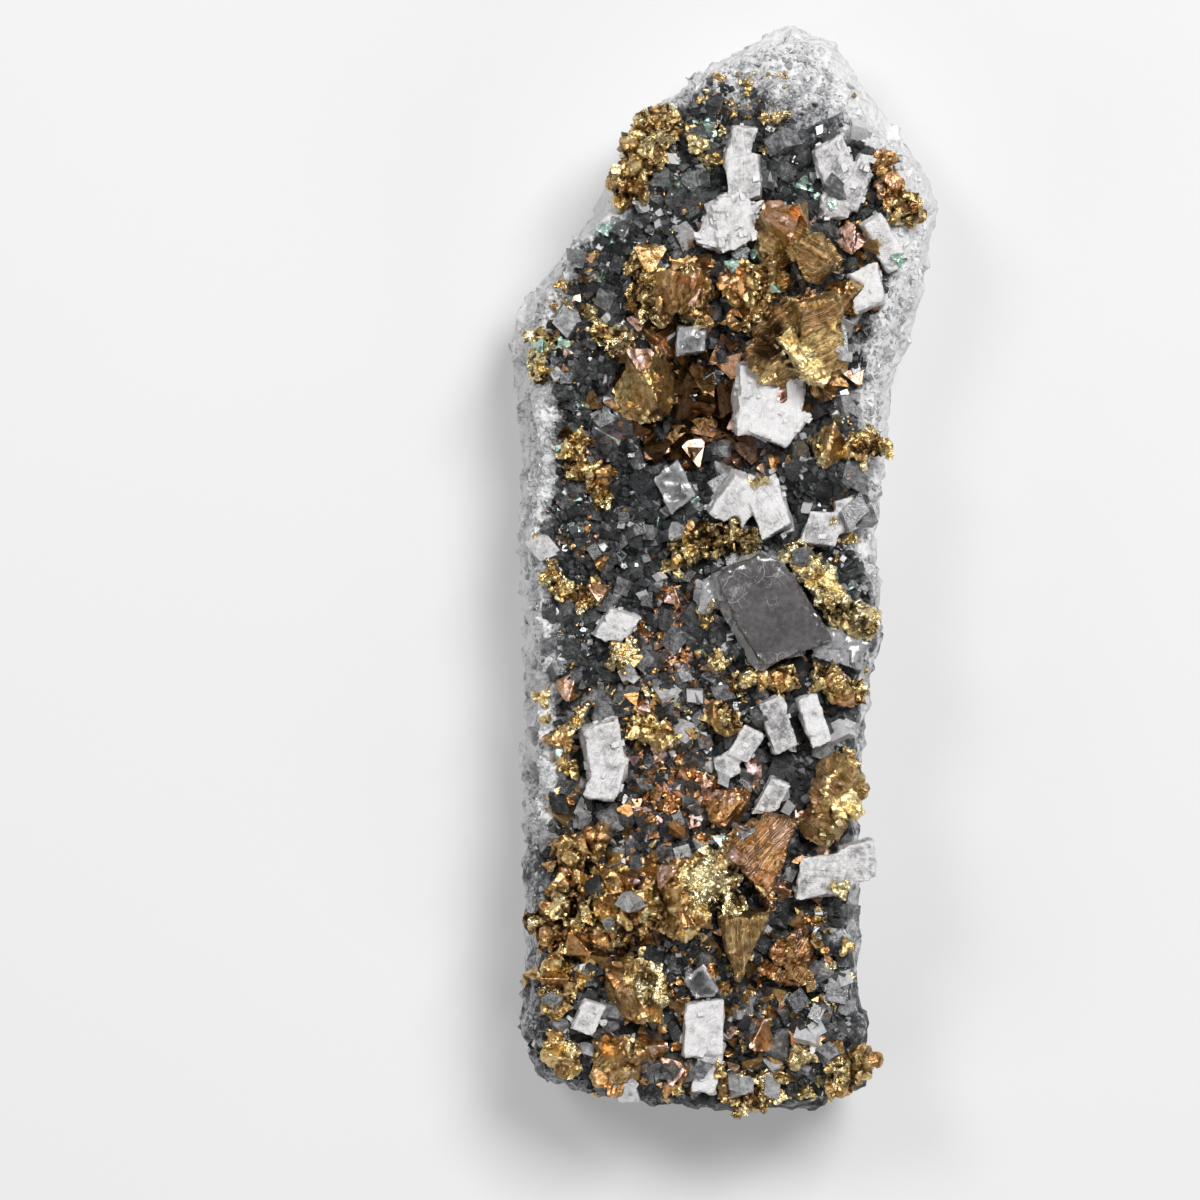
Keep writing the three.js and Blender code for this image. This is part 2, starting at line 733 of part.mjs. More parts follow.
// Blades that fan out from one root.
function fanParts({ at, blade, turn, spread, count, rise }) {
  const reach = blade[1] * BLADE.root;
  const root = THREE.MathUtils.degToRad(turn);
  const from = [at[0] + reach * Math.sin(root), at[1] - reach * Math.cos(root)];
  return Array.from({ length: count }, (_, i) => {
    const angle = turn + (i / (count - 1) - 0.5) * spread;
    const heading = THREE.MathUtils.degToRad(angle);
    return [
      "wedge",
      from[0] - reach * Math.sin(heading),
      from[1] + reach * Math.cos(heading),
      [blade[0] * BLADE.swell, blade[1], blade[2]],
      angle + 180,
      0,
      rise + BLADE.stagger * (i % 2),
    ];
  });
}

function partsOf(crystal, random) {
  if (crystal.cluster) return clusterParts(crystal.cluster, random);
  if (crystal.fan) return fanParts(crystal.fan);
  return crystal.parts;
}

// Crystals in order of growth: each stops short of the rock and of the earlier ones that it meets.
function growCrystals() {
  const random = seededRandom(37);
  const ground = slab(SEAT_GAP);
  const grown = [];
  for (const [mineral, list] of [
    ["calcite", CALCITE],
    ["chalcopyrite", CHALCOPYRITE],
    ["dolomite", DOLOMITE],
  ]) {
    for (const crystal of list) {
      let { solid, space } = union(partsOf(crystal, random).map((part) => grow(part)));
      solid = solid.subtract(ground);
      for (const other of grown) solid = solid.subtract(other.space);
      grown.push({ name: crystal.name, mineral, solid: largest(solid), space });
    }
  }
  return grown;
}

// ---------------------------------------------------------------- small growth fused to the rock

function onFront(x, y) {
  const stations = outlineStations().map((p) => new THREE.Vector2(p.x, p.y));
  let inside = false;
  stations.forEach((a, i) => {
    const b = stations[(i + 1) % stations.length];
    if (a.y > y !== b.y > y && x < ((b.x - a.x) * (y - a.y)) / (b.y - a.y) + a.x) inside = !inside;
  });
  return inside && stations.every((p) => Math.hypot(p.x - x, p.y - y) > BARE_RIM);
}

// Small crystals at random over a stretch of the front, wherever they miss the large ones.
function scatter(random, { count, over, side, spread, lean }, crystals, make) {
  const [left, right, low, high] = over;
  const made = [];
  while (made.length < count) {
    const x = left + random() * (right - left);
    const y = low + random() * (high - low);
    if (!onFront(x, y)) continue;
    const { form, size, rise } = make(side + random() * random() * spread);
    const { solid, space } = grow([form, x, y, size, random() * 360, jitter(random, lean), rise]);
    if (crystals.every((crystal) => crystal.solid.intersect(space).isEmpty())) made.push(solid);
  }
  return made;
}

function druse(crystals) {
  const random = seededRandom(53);
  const rhombs = scatter(random, SMALL_RHOMBS, crystals, (side) => ({
    form: "rhomb",
    size: [side, side * (1 + random() / 2), side],
    rise: 0.2,
  }));
  const tetras = scatter(random, SMALL_TETRAS, crystals, (side) => ({
    form: "tetra",
    size: [side, side, side * 1.1],
    rise: 0.5,
  }));
  return [...rhombs, ...tetras];
}

function growRock(crystals) {
  return largest(druse(crystals).reduce((rock, growth) => rock.add(growth), slab(0)));
}

// ---------------------------------------------------------------- the specimen

const crystals = growCrystals();
const specimen = new THREE.Group();
specimen.add(toMesh(growRock(crystals), "rock_matrix", "rock"));
for (const { name, mineral, solid } of crystals) specimen.add(toMesh(solid, name, mineral));

export default specimen;
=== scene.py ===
import itertools
import json
import math
from dataclasses import dataclass, field

import bmesh
import bpy
import numpy as np
from mathutils import Euler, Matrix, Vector
from mathutils.bvhtree import BVHTree


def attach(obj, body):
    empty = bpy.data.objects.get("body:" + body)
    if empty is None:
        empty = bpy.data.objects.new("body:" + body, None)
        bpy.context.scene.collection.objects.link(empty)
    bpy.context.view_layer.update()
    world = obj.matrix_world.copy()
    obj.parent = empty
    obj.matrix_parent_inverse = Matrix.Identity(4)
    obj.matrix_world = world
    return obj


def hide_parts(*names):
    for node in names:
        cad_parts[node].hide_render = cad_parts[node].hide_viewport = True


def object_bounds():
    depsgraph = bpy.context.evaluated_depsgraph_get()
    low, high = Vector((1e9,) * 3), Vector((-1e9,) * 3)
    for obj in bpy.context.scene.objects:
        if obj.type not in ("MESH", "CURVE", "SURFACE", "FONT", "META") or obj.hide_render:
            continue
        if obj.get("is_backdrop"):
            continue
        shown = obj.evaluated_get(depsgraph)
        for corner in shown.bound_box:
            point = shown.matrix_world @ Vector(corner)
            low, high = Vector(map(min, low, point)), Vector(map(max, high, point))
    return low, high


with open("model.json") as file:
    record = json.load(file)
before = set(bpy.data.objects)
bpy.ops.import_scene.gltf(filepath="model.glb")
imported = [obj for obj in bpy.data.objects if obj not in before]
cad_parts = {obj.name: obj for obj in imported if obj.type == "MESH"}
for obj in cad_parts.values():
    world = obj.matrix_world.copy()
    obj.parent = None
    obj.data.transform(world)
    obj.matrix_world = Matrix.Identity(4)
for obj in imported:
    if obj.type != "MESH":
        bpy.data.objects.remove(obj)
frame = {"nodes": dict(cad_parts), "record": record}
CAD_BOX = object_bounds()

MM = 0.001

# How wide the small faces of each kind of skin are, in millimetres.
ROCK_VOXEL = 0.52
METAL_VOXEL = 0.195
PALE_VOXEL = 0.22
BAR_VOXEL = 0.14

# The same for the skins of small forms, as a share of the form's size.
NUGGET_VOXEL = 0.16
TWIN_VOXEL = 0.115

# The angles, in degrees, from which the edges of a smooth skin stay sharp.
ROCK_CREASE = 60
DOLOMITE_CREASE = 35
TABLET_CREASE = 30
SMALL_CREASE = 24
METAL_CREASE = 9

# Small crystals grow on the parts of the rock above this height.
FRONT_HEIGHT = 11.0

# Where the crystals' tops lie, and where the camera looks at them.
CROWN_HEIGHT = 18.0
VIEW_CENTRE = (-10.56, -2.99)
VIEW_WIDTH = 105.6
LENS = 200.0
SENSOR = 36.0


# ---------------------------------------------------------------- shapes as arrays


@dataclass
class Shape:
    """Corners in millimetres, faces as runs of corner numbers, and marks: one number a corner."""

    corners: np.ndarray
    loops: np.ndarray
    sizes: np.ndarray
    marks: dict = field(default_factory=dict)

    def marked(self, **marks):
        for name, value in marks.items():
            self.marks[name] = np.broadcast_to(value, len(self.corners)).astype(float)
        return self


def joined(shapes):
    """One shape of several that carry the same marks."""
    starts = np.cumsum([0] + [len(s.corners) for s in shapes[:-1]])
    return Shape(
        np.concatenate([s.corners for s in shapes]),
        np.concatenate([s.loops + start for s, start in zip(shapes, starts)]),
        np.concatenate([s.sizes for s in shapes]),
        {name: np.concatenate([s.marks[name] for s in shapes]) for name in shapes[0].marks},
    )


def shape_of(mesh):
    corners = np.empty(len(mesh.vertices) * 3)
    mesh.vertices.foreach_get("co", corners)
    loops = np.empty(len(mesh.loops), int)
    mesh.loops.foreach_get("vertex_index", loops)
    sizes = np.empty(len(mesh.polygons), int)
    mesh.polygons.foreach_get("loop_total", sizes)
    return Shape(corners.reshape(-1, 3) / MM, loops, sizes)


def shape_of_solid(solid):
    """The shape of a bmesh that is built in millimetres."""
    solid.verts.index_update()
    corners = np.array([v.co for v in solid.verts])
    faces = [[v.index for v in face.verts] for face in solid.faces]
    return Shape(corners, np.concatenate(faces), np.array([len(face) for face in faces]))


def rings(shape):
    """The corner numbers of each face."""
    return np.split(shape.loops, np.cumsum(shape.sizes)[:-1])


def mesh_of(name, shape, crease=None):
    """A mesh whose faces are flat, or smooth up to creases of a given angle in degrees."""
    mesh = bpy.data.meshes.new(name)
    mesh.vertices.add(len(shape.corners))
    mesh.vertices.foreach_set("co", (shape.corners * MM).ravel())
    mesh.loops.add(len(shape.loops))
    mesh.loops.foreach_set("vertex_index", shape.loops)
    mesh.polygons.add(len(shape.sizes))
    mesh.polygons.foreach_set("loop_start", np.concatenate([[0], np.cumsum(shape.sizes)[:-1]]))
    for mark, values in shape.marks.items():
        mesh.attributes.new(mark, "FLOAT", "POINT").data.foreach_set("value", values)
    mesh.update(calc_edges=True)
    if crease is None:
        mesh.shade_flat()
    else:
        mesh.shade_smooth()
        mesh.set_sharp_from_angle(angle=math.radians(crease))
    return mesh


def add_piece(name, shape, finish, slot, replaced=(), crease=None):
    """A finished piece of the specimen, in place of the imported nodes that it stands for."""
    piece = bpy.data.objects.new(name, mesh_of(name, shape, crease))
    bpy.context.scene.collection.objects.link(piece)
    piece.data.materials.append(finish)
    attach(piece, "root")
    if replaced:
        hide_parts(*replaced)
    return piece


def solid_of(node):
    """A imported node's own solid."""
    welded = bmesh.new()
    welded.from_mesh(frame["nodes"][node].data)
    bmesh.ops.remove_doubles(welded, verts=welded.verts, dist=1e-6)
    flat = math.radians(1)
    bmesh.ops.dissolve_limit(welded, angle_limit=flat, verts=welded.verts, edges=welded.edges)
    mesh = bpy.data.meshes.new("solid")
    welded.to_mesh(mesh)
    welded.free()
    shape = shape_of(mesh)
    bpy.data.meshes.remove(mesh)
    return shape


def raised(shape, outward, height):
    """The shape with each corner moved outward by its own height."""
    shape.corners = shape.corners + outward * height[:, None]
    return shape


def fine_skin(shape, voxel):
    """The shape again with small even faces, and the outward direction at each corner."""
    mesh = mesh_of("coarse", shape)
    holder = bpy.data.objects.new("coarse", mesh)
    bpy.context.scene.collection.objects.link(holder)
    remesh = holder.modifiers.new("remesh", "REMESH")
    remesh.mode = "VOXEL"
    remesh.voxel_size = voxel * MM
    bpy.context.view_layer.update()
    fine = bpy.data.meshes.new_from_object(holder.evaluated_get(bpy.context.evaluated_depsgraph_get()))
    skin = shape_of(fine)
    outward = np.empty(len(fine.vertices) * 3)
    fine.vertices.foreach_get("normal", outward)
    bpy.data.objects.remove(holder)
    bpy.data.meshes.remove(mesh)
    bpy.data.meshes.remove(fine)
    return skin, outward.reshape(-1, 3)


# ---------------------------------------------------------------- chance and roughness


# Large odd numbers that scramble the place of a lattice cell and a seed into chance.
CELL_KEYS = (73856093, 19349663, 83492791)
SEED_KEY = 2654435761
SEED_START = 12345
SCRAMBLES = ((30, 0xBF58476D1CE4E5B9), (27, 0x94D049BB133111EB))


def cell_chances(cells, seed, count):
    """Even random numbers from 0 to 1, the same for a lattice cell each time it is asked."""
    x, y, z = (cells[:, i].astype(np.uint64) for i in range(3))
    with np.errstate(over="ignore"):
        x_key, y_key, z_key = map(np.uint64, CELL_KEYS)
        key = x * x_key ^ y * y_key ^ z * z_key
        key += np.uint64(seed * SEED_KEY + SEED_START)
        chances = np.empty((len(cells), count))
        for i in range(count):
            for shift, scramble in SCRAMBLES:
                key = (key ^ (key >> np.uint64(shift))) * np.uint64(scramble)
            chances[:, i] = (key >> np.uint64(40)).astype(float) / 2**24
    return chances


def soft_noise(points, size, seed):
    """Smooth noise from -1 to 1 with features of a given size."""
    scaled = points / size
    low = np.floor(scaled).astype(np.int64)
    part = scaled - low
    part = part * part * (3 - 2 * part)
    total = np.zeros(len(points))
    for corner in itertools.product((0, 1), repeat=3):
        weight = np.prod(np.where(corner, part, 1 - part), axis=1)
        total += weight * cell_chances(low + np.array(corner), seed, 1)[:, 0]
    return total * 2 - 1


def layered_noise(points, size, seed, layers=3):
    """Soft noise of a given size with finer and weaker layers over it."""
    parts = [soft_noise(points, size / 2**i, seed + i) / 2**i for i in range(layers)]
    return sum(parts) / sum(1 / 2**i for i in range(layers))


def ramp(value, low, high):
    """0 up to the low end, 1 from the high end on, and a smooth rise between."""
    part = np.clip((value - low) / (high - low), 0, 1)
    return part * part * (3 - 2 * part)


# How wide the seam between two small faces is, as a share of their size.
SEAM_WIDTH = 0.22


def facets(points, size, seed):
    """Small tilted faces that meet in creases and steps.

    Gives their heights, a chance number a face, and how near the seam between two faces is, to 1.
    """
    scaled = points / size
    low = np.floor(scaled).astype(np.int64)
    nearest = np.full(len(points), np.inf)
    second = np.full(len(points), np.inf)
    height = np.zeros(len(points))
    chosen = np.zeros(len(points))
    for corner in itertools.product((-1, 0, 1), repeat=3):
        cell = low + np.array(corner)
        chance = cell_chances(cell, seed, 7)
        away = scaled - (cell + chance[:, :3])
        distance = (away**2).sum(1)
        tilted = (away * (chance[:, 3:6] * 2 - 1)).sum(1) + 0.35 * (chance[:, 6] - 0.5)
        closer = distance < nearest
        height = np.where(closer, tilted, height)
        chosen = np.where(closer, chance[:, 6], chosen)
        second = np.where(closer, nearest, np.minimum(second, distance))
        nearest = np.where(closer, distance, nearest)
    seam = 1 - ramp(np.sqrt(second) - np.sqrt(nearest), 0, SEAM_WIDTH)
    return height * size, chosen, seam


def crinkle(points, size, seed):
    """Ridges from 0 to 1 that run and branch like those of crumpled foil."""
    return 1 - np.clip(np.abs(layered_noise(points, size, seed, 2)) * 2.6, 0, 1)


def edge_nearness(points, solid, reach):
    """1 along the edges of a solid, falling to 0 at a given distance from them."""
    pairs = set()
    for ring in rings(solid):
        pairs |= {tuple(sorted(pair)) for pair in zip(ring, np.roll(ring, -1))}
    nearest = np.full(len(points), np.inf)
    for start, end in pairs:
        from_start = points - solid.corners[start]
        edge = solid.corners[end] - solid.corners[start]
        along = np.clip(from_start @ edge / (edge @ edge), 0, 1)
        nearest = np.minimum(nearest, np.linalg.norm(from_start - along[:, None] * edge, axis=1))
    return 1 - ramp(nearest, 0, reach)


# ---------------------------------------------------------------- finishes


class Value:
    """A shader socket that takes part in sums: an expression on values adds its Math nodes."""

    def __init__(self, finish, socket):
        self.finish = finish
        self.socket = socket

    def worked(self, operation, first, second):
        return self.finish.node("ShaderNodeMath", {"operation": operation}, {0: first, 1: second})

    def __add__(self, other):
        return self.worked("ADD", self, other)

    def __radd__(self, other):
        return self.worked("ADD", other, self)

    def __sub__(self, other):
        return self.worked("SUBTRACT", self, other)

    def __rsub__(self, other):
        return self.worked("SUBTRACT", other, self)

    def __mul__(self, other):
        return self.worked("MULTIPLY", self, other)

    def __rmul__(self, other):
        return self.worked("MULTIPLY", other, self)

    def __truediv__(self, other):
        return self.worked("DIVIDE", self, other)


class Finish:
    """A material under construction."""

    def __init__(self, name):
        self.material = bpy.data.materials.new(name)
        self.material.use_nodes = True
        self.tree = self.material.node_tree
        self.tree.nodes.clear()
        self.place = self.scaled_place()

    def node(self, kind, settings=None, sockets=None, output=0):
        """Any node: its type, its settings, then the values or links of its sockets."""
        made = self.tree.nodes.new(kind)
        for name, value in (settings or {}).items():
            if name == "stops":
                self.set_stops(made.color_ramp, value)
            else:
                setattr(made, name, value)
        for name, value in (sockets or {}).items():
            if isinstance(value, Value):
                self.tree.links.new(value.socket, made.inputs[name])
            else:
                made.inputs[name].default_value = value
        return Value(self, made.outputs[output]) if made.outputs else None

    @staticmethod
    def set_stops(color_ramp, stops):
        while len(color_ramp.elements) < len(stops):
            color_ramp.elements.new(0.5)
        for element, (position, colour) in zip(color_ramp.elements, stops):
            element.position = position
            element.color = (*colour, 1)

    def scaled_place(self):
        """Where a point is, in millimetres."""
        here = self.node("ShaderNodeTexCoord", output="Object")
        to_millimetres = (1 / MM, 1 / MM, 1 / MM)
        return self.node("ShaderNodeVectorMath", {"operation": "MULTIPLY"}, {0: here, 1: to_millimetres})

    def mark(self, name):
        return self.node("ShaderNodeAttribute", {"attribute_name": name}, output="Fac")

    def noise(self, size, detail=3.0, roughness=0.55, distortion=0.0):
        sockets = {
            "Vector": self.place,
            "Scale": 1 / size,
            "Detail": detail,
            "Roughness": roughness,
            "Distortion": distortion,
        }
        return self.node("ShaderNodeTexNoise", {}, sockets)

    def cracks(self, size):
        """Distance from the nearest crack of a net with bent cells of a given size."""
        bend = 0.35
        sockets = {0: bend, 4: self.place, 5: self.noise_vector(size * 0.8)}
        bent = self.node("ShaderNodeMix", {"data_type": "VECTOR"}, sockets, output=1)
        sockets = {"Vector": bent, "Scale": 1 / size}
        return self.node("ShaderNodeTexVoronoi", {"feature": "DISTANCE_TO_EDGE"}, sockets)

    def upwardness(self):
        """How far a face looks up, from -1 to 1."""
        true_normal = self.node("ShaderNodeNewGeometry", output="True Normal")
        return self.node("ShaderNodeSeparateXYZ", {}, {"Vector": true_normal}, output="Z")

    def noise_along(self, distance, size):
        """Noise that changes with one distance alone, for fine parallel lines."""
        settings = {"noise_dimensions": "1D"}
        return self.node("ShaderNodeTexNoise", settings, {"W": distance / size, "Detail": 2.0})

    def noise_vector(self, size):
        return self.node("ShaderNodeTexNoise", {}, {"Vector": self.place, "Scale": 1 / size}, output=1)

    def cells(self, size):
        return self.node("ShaderNodeTexVoronoi", {}, {"Vector": self.place, "Scale": 1 / size})

    def between(self, value, low, high):
        """The value's way from low to high, held from 0 to 1."""
        sockets = {"Value": value, "From Min": low, "From Max": high}
        return self.node("ShaderNodeMapRange", {"interpolation_type": "SMOOTHSTEP"}, sockets)

    def mix(self, share, first, second):
        """From the first colour to the second."""
        colours = [c if isinstance(c, Value) else (*c, 1) for c in (first, second)]
        sockets = {0: share, 6: colours[0], 7: colours[1]}
        return self.node("ShaderNodeMix", {"data_type": "RGBA"}, sockets, output=2)

    def colour_ramp(self, value, stops):
        return self.node("ShaderNodeValToRGB", {"stops": stops}, {0: value})

    def bump(self, height, distance, strength=1.0):
        """A relief of a given depth in millimetres."""
        sockets = {"Height": height, "Distance": distance * MM, "Strength": strength}
        return self.node("ShaderNodeBump", {}, sockets)

    def done(self, **sockets):
        named = {name.replace("_", " "): value for name, value in sockets.items()}
        shader = self.node("ShaderNodeBsdfPrincipled", {}, named)
        self.node("ShaderNodeOutputMaterial", {}, {"Surface": shader})
        return self.material


# Chalcopyrite's colours, from fresh brass through bronze, copper and violet to teal.
TARNISH_COLOURS = [
    (0.0, (1.0, 0.90, 0.58)),
    (0.12, (0.94, 0.73, 0.34)),
    (0.22, (0.82, 0.56, 0.23)),
    (0.30, (0.66, 0.42, 0.17)),
    (0.36, (0.30, 0.18, 0.07)),
    (0.43, (0.70, 0.41, 0.18)),
    (0.52, (0.96, 0.47, 0.16)),
    (0.61, (0.70, 0.40, 0.26)),
    (0.70, (0.90, 0.62, 0.52)),
    (0.78, (0.72, 0.48, 0.70)),
    (0.86, (0.44, 0.66, 0.72)),
    (0.93, (0.66, 1.0, 0.88)),
]
# Painted light and shade: the pale gold of painted glints, and the brown of painted unlit patches.
PAINTED_GLINT_GOLD = (1.0, 0.88, 0.6)
PAINTED_UNLIT_BROWN = (0.15, 0.075, 0.022)
# Painted shade, mixed with real dust: a near-black brown for steep faces and creases.
SHADE_AND_DUST_BROWN = (0.03, 0.018, 0.008)


def chalcopyrite_finish():
    """Brass that tarnishes through bronze and copper to violet and teal, bright where torn."""
    finish = Finish("chalcopyrite")
    hackly = finish.mark("hackly")
    ridged = finish.mark("ridged")
    smooth = 1 - hackly
    cloud = finish.noise(1.7, detail=4)
    crumple = finish.noise(0.65, detail=5, roughness=0.65)
    grain = finish.noise(0.2, detail=3, roughness=0.7)
    lines = finish.noise_along(finish.mark("across"), 0.42)
    lined = (lines - 0.5) * ridged

    # Painted light: how far a satin face looks up shifts its tarnish colour. Faces that look up to the
    # light move towards copper, and steep faces move back towards brass.
    facing = finish.between(finish.upwardness(), 0.3, 0.95)
    painted_facing_light = (facing - 0.55) * smooth * smooth * smooth * 0.4
    patchy = (cloud - 0.5) * 0.26 + (crumple - 0.5) * 0.24 + (grain - 0.5) * 0.34
    film = finish.mark("tarnish") + patchy + painted_facing_light + lined * 1.1 - finish.mark("edge") * 0.12
    tint = finish.colour_ramp(film, TARNISH_COLOURS)

    # Painted light and shade: a pattern over the crumples, grain and striae paints pale gold glints
    # where it is high and brown unlit patches where it is low.
    painted_light_pattern = (crumple - 0.5) * 3.6 + (grain - 0.5) * 0.8 + lined * 2.4
    painted_glints = finish.mix(finish.between(painted_light_pattern, 0.05, 0.6) * 0.5, tint, PAINTED_GLINT_GOLD)
    painted_unlit = finish.between(painted_light_pattern, 0.0, -0.5) * 0.75
    tint_with_painted_light = finish.mix(painted_unlit, painted_glints, PAINTED_UNLIT_BROWN)
    dusty = finish.between(finish.noise(0.5, detail=6, roughness=0.7), 0.5, 0.66)
    # Painted shade: faces that look sideways or down, and corners marked as creased, are darkened
    # towards a near-black brown. The dusty share is real dust.
    shaded = 1 - finish.between(finish.upwardness(), -0.2, 0.5)
    dull = dusty * (1 - hackly * 0.5) * 0.25 + shaded * 0.55 + finish.mark("crease") * 0.8

    torn = (crumple * 0.35 + finish.cells(0.6) * 0.45 + finish.cells(0.3) * 0.2) * hackly
    relief = torn + crumple * 0.45 + grain * 0.1 + lines * ridged * 1.2
    return finish.done(
        Base_Color=finish.mix(dull, tint_with_painted_light, SHADE_AND_DUST_BROWN),
        Metallic=1.0,
        Roughness=0.35 - hackly * 0.08 + (cloud - 0.5) * 0.15 + dusty * 0.06,
        Normal=finish.bump(relief, 0.3, 0.9),
    )


def rock_finish():
    """Dark glassy vein rock, turning to sugary white and grey where it is broken or weathered."""
    finish = Finish("vein_rock")
    pale = finish.mark("pale")
    mottle = finish.noise(2.2, detail=7, roughness=0.75)
    fleck = finish.noise(0.35, detail=4, roughness=0.7)
    whiteness = finish.between(pale + (mottle - 0.5) * 1.7 + (fleck - 0.5) * 1.0, 0.0, 1.0)
    colour = finish.colour_ramp(
        whiteness,
        [
            (0.0, (0.010, 0.011, 0.012)),
            (0.25, (0.05, 0.052, 0.056)),
            (0.45, (0.22, 0.223, 0.23)),
            (0.65, (0.46, 0.46, 0.47)),
            (0.9, (0.74, 0.735, 0.735)),
        ],
    )
    grain = finish.cells(0.7) * 0.5 + finish.noise(0.8, detail=4)
    return finish.done(
        Base_Color=colour,
        Roughness=0.34 + fleck * 0.4,
        Normal=finish.bump(grain, 0.35, 0.9),
        IOR=1.55,
    )


def druse_finish():
    """Small glassy grains, from near black to white by the grain, with tiny glints."""
    finish = Finish("druse")
    tone = finish.mark("tone")
    cloud = finish.noise(0.4, detail=5, roughness=0.7)
    # Painted highlights: tiny white glints painted into the grains' colour.
    painted_glint = finish.between(finish.noise(0.13, detail=3), 0.6, 0.72)
    colour = finish.colour_ramp(
        tone + (cloud - 0.5) * 0.7 + painted_glint * 0.3,
        [
            (0.0, (0.012, 0.0125, 0.013)),
            (0.3, (0.045, 0.047, 0.049)),
            (0.55, (0.12, 0.122, 0.126)),
            (0.8, (0.38, 0.38, 0.39)),
            (1.0, (0.78, 0.775, 0.775)),
        ],
    )
    return finish.done(
        Base_Color=colour,
        Roughness=0.04 + cloud * 0.2 + finish.between(tone, 0.6, 1.0) * 0.4,
        Normal=finish.bump(finish.noise(0.4, detail=3), 0.05, 0.6),
        IOR=1.6,
    )


def clear_rhomb_finish():
    """Half-clear rhombs that show the dark rock through them and whiten along edges and veils."""
    finish = Finish("clear_rhombs")
    tone = finish.mark("tone")
    cloud = finish.noise(0.7, detail=6, roughness=0.7)
    veil = finish.noise(0.22, detail=4, roughness=0.6)
    whitened = (cloud - 0.5) * 1.1 + (veil - 0.5) * 0.5 + finish.mark("edge") * 0.1
    milky = finish.between(tone + whitened, 0.05, 1.05)
    colour = finish.colour_ramp(
        milky,
        [
            (0.0, (0.03, 0.032, 0.034)),
            (0.35, (0.16, 0.163, 0.168)),
            (0.7, (0.50, 0.50, 0.51)),
            (1.0, (0.90, 0.895, 0.90)),
        ],
    )
    return finish.done(
        Base_Color=colour,
        Roughness=0.05 + cloud * 0.3,
        Normal=finish.bump(veil, 0.07, 0.6),
        Transmission_Weight=0.4,
        IOR=1.6,
    )


def dolomite_finish():
    """Milky rhombs with pearly cleavage, cloudy inside and frosted along their edges."""
    finish = Finish("dolomite")
    cloud = finish.noise(1.5, detail=7, roughness=0.75)
    veil = finish.noise(0.45, detail=6, roughness=0.75, distortion=0.5)
    frost = finish.mark("edge") * 0.14 + (finish.mark("tone") - 0.5) * 0.5
    streak = finish.noise_along(finish.mark("across"), 0.5)
    milky = finish.between(cloud + (veil - 0.5) * 0.7 + (streak - 0.5) * 0.2 + frost, 0.25, 0.68)
    colour = finish.colour_ramp(
        milky,
        [
            (0.0, (0.19, 0.187, 0.19)),
            (0.3, (0.46, 0.45, 0.452)),
            (0.6, (0.69, 0.675, 0.672)),
            (1.0, (0.92, 0.905, 0.905)),
        ],
    )
    return finish.done(
        Base_Color=colour,
        Roughness=0.1 + veil * 0.3,
        Normal=finish.bump(finish.noise(0.5, detail=5) * 0.5 + veil + streak * 0.5, 0.14, 0.9),
        Subsurface_Weight=0.25,
        Subsurface_Radius=(1.0, 0.95, 0.95),
        Subsurface_Scale=0.6 * MM,
        Transmission_Weight=0.2,
        IOR=1.62,
    )


def grey_crystal_finish():
    """Grey half-clear rhombs, whiter along their edges."""
    finish = Finish("grey_crystal")
    cloud = finish.noise(1.2, detail=6, roughness=0.65)
    whitened = (finish.mark("tone") - 0.5) * 0.3 + finish.mark("edge") * 0.22
    shade = finish.between(cloud + whitened, 0.34, 0.8)
    colour = finish.mix(shade, (0.06, 0.063, 0.067), (0.55, 0.55, 0.56))
    return finish.done(
        Base_Color=colour,
        Roughness=0.06 + cloud * 0.25,
        Normal=finish.bump(finish.noise(0.3, detail=4), 0.07, 0.5),
        Transmission_Weight=0.5,
        IOR=1.6,
    )


CALCITE_DARK = (0.075, 0.069, 0.073)
CALCITE_SMOKY = (0.21, 0.194, 0.197)
SPECK_GREY = (0.4, 0.4, 0.42)
SIDE_GREY = (0.5, 0.5, 0.515)
HEALED_WHITE = (0.7, 0.7, 0.72)


def calcite_finish():
    """Smoky clear calcite, clouded at its thin sides and crossed by a few white healed cracks."""
    finish = Finish("smoky_calcite")
    cloud = finish.noise(3.0, detail=5, roughness=0.6)
    fine = finish.noise(0.45, detail=5, roughness=0.7)
    sides = finish.mark("pale")
    wide_net = 1 - finish.between(finish.cracks(1.7), 0.0, 0.012)
    fine_net = 1 - finish.between(finish.cracks(0.8), 0.0, 0.02)
    haze = finish.between(finish.noise(0.8, detail=7, roughness=0.75, distortion=0.8), 0.5, 0.72)
    veined = finish.between(finish.mark("veined") + (fine - 0.5) * 1.6, 0.2, 0.9)
    frosted = (wide_net * 0.8 + fine_net * 0.35 + haze * 0.75) * veined
    speck = finish.between(fine, 0.68, 0.8) * 0.3
    clouded = finish.between(sides + (fine - 0.5) * 1.4 + (cloud - 0.5), 0.4, 1.1)
    mottled = cloud * 0.5 + fine * 0.5
    body = finish.mix(finish.between(mottled, 0.32, 0.72), CALCITE_DARK, CALCITE_SMOKY)
    veiled = finish.mix(clouded, finish.mix(speck, body, SPECK_GREY), SIDE_GREY)
    return finish.done(
        Base_Color=finish.mix(frosted * 0.8, veiled, HEALED_WHITE),
        Roughness=0.2 + frosted * 0.4 + (fine - 0.5) * 0.14,
        Normal=finish.bump(finish.noise(0.8, detail=5), 0.05, 0.35),
        Transmission_Weight=0.35,
        IOR=1.58,
    )


# ---------------------------------------------------------------- the rock slab


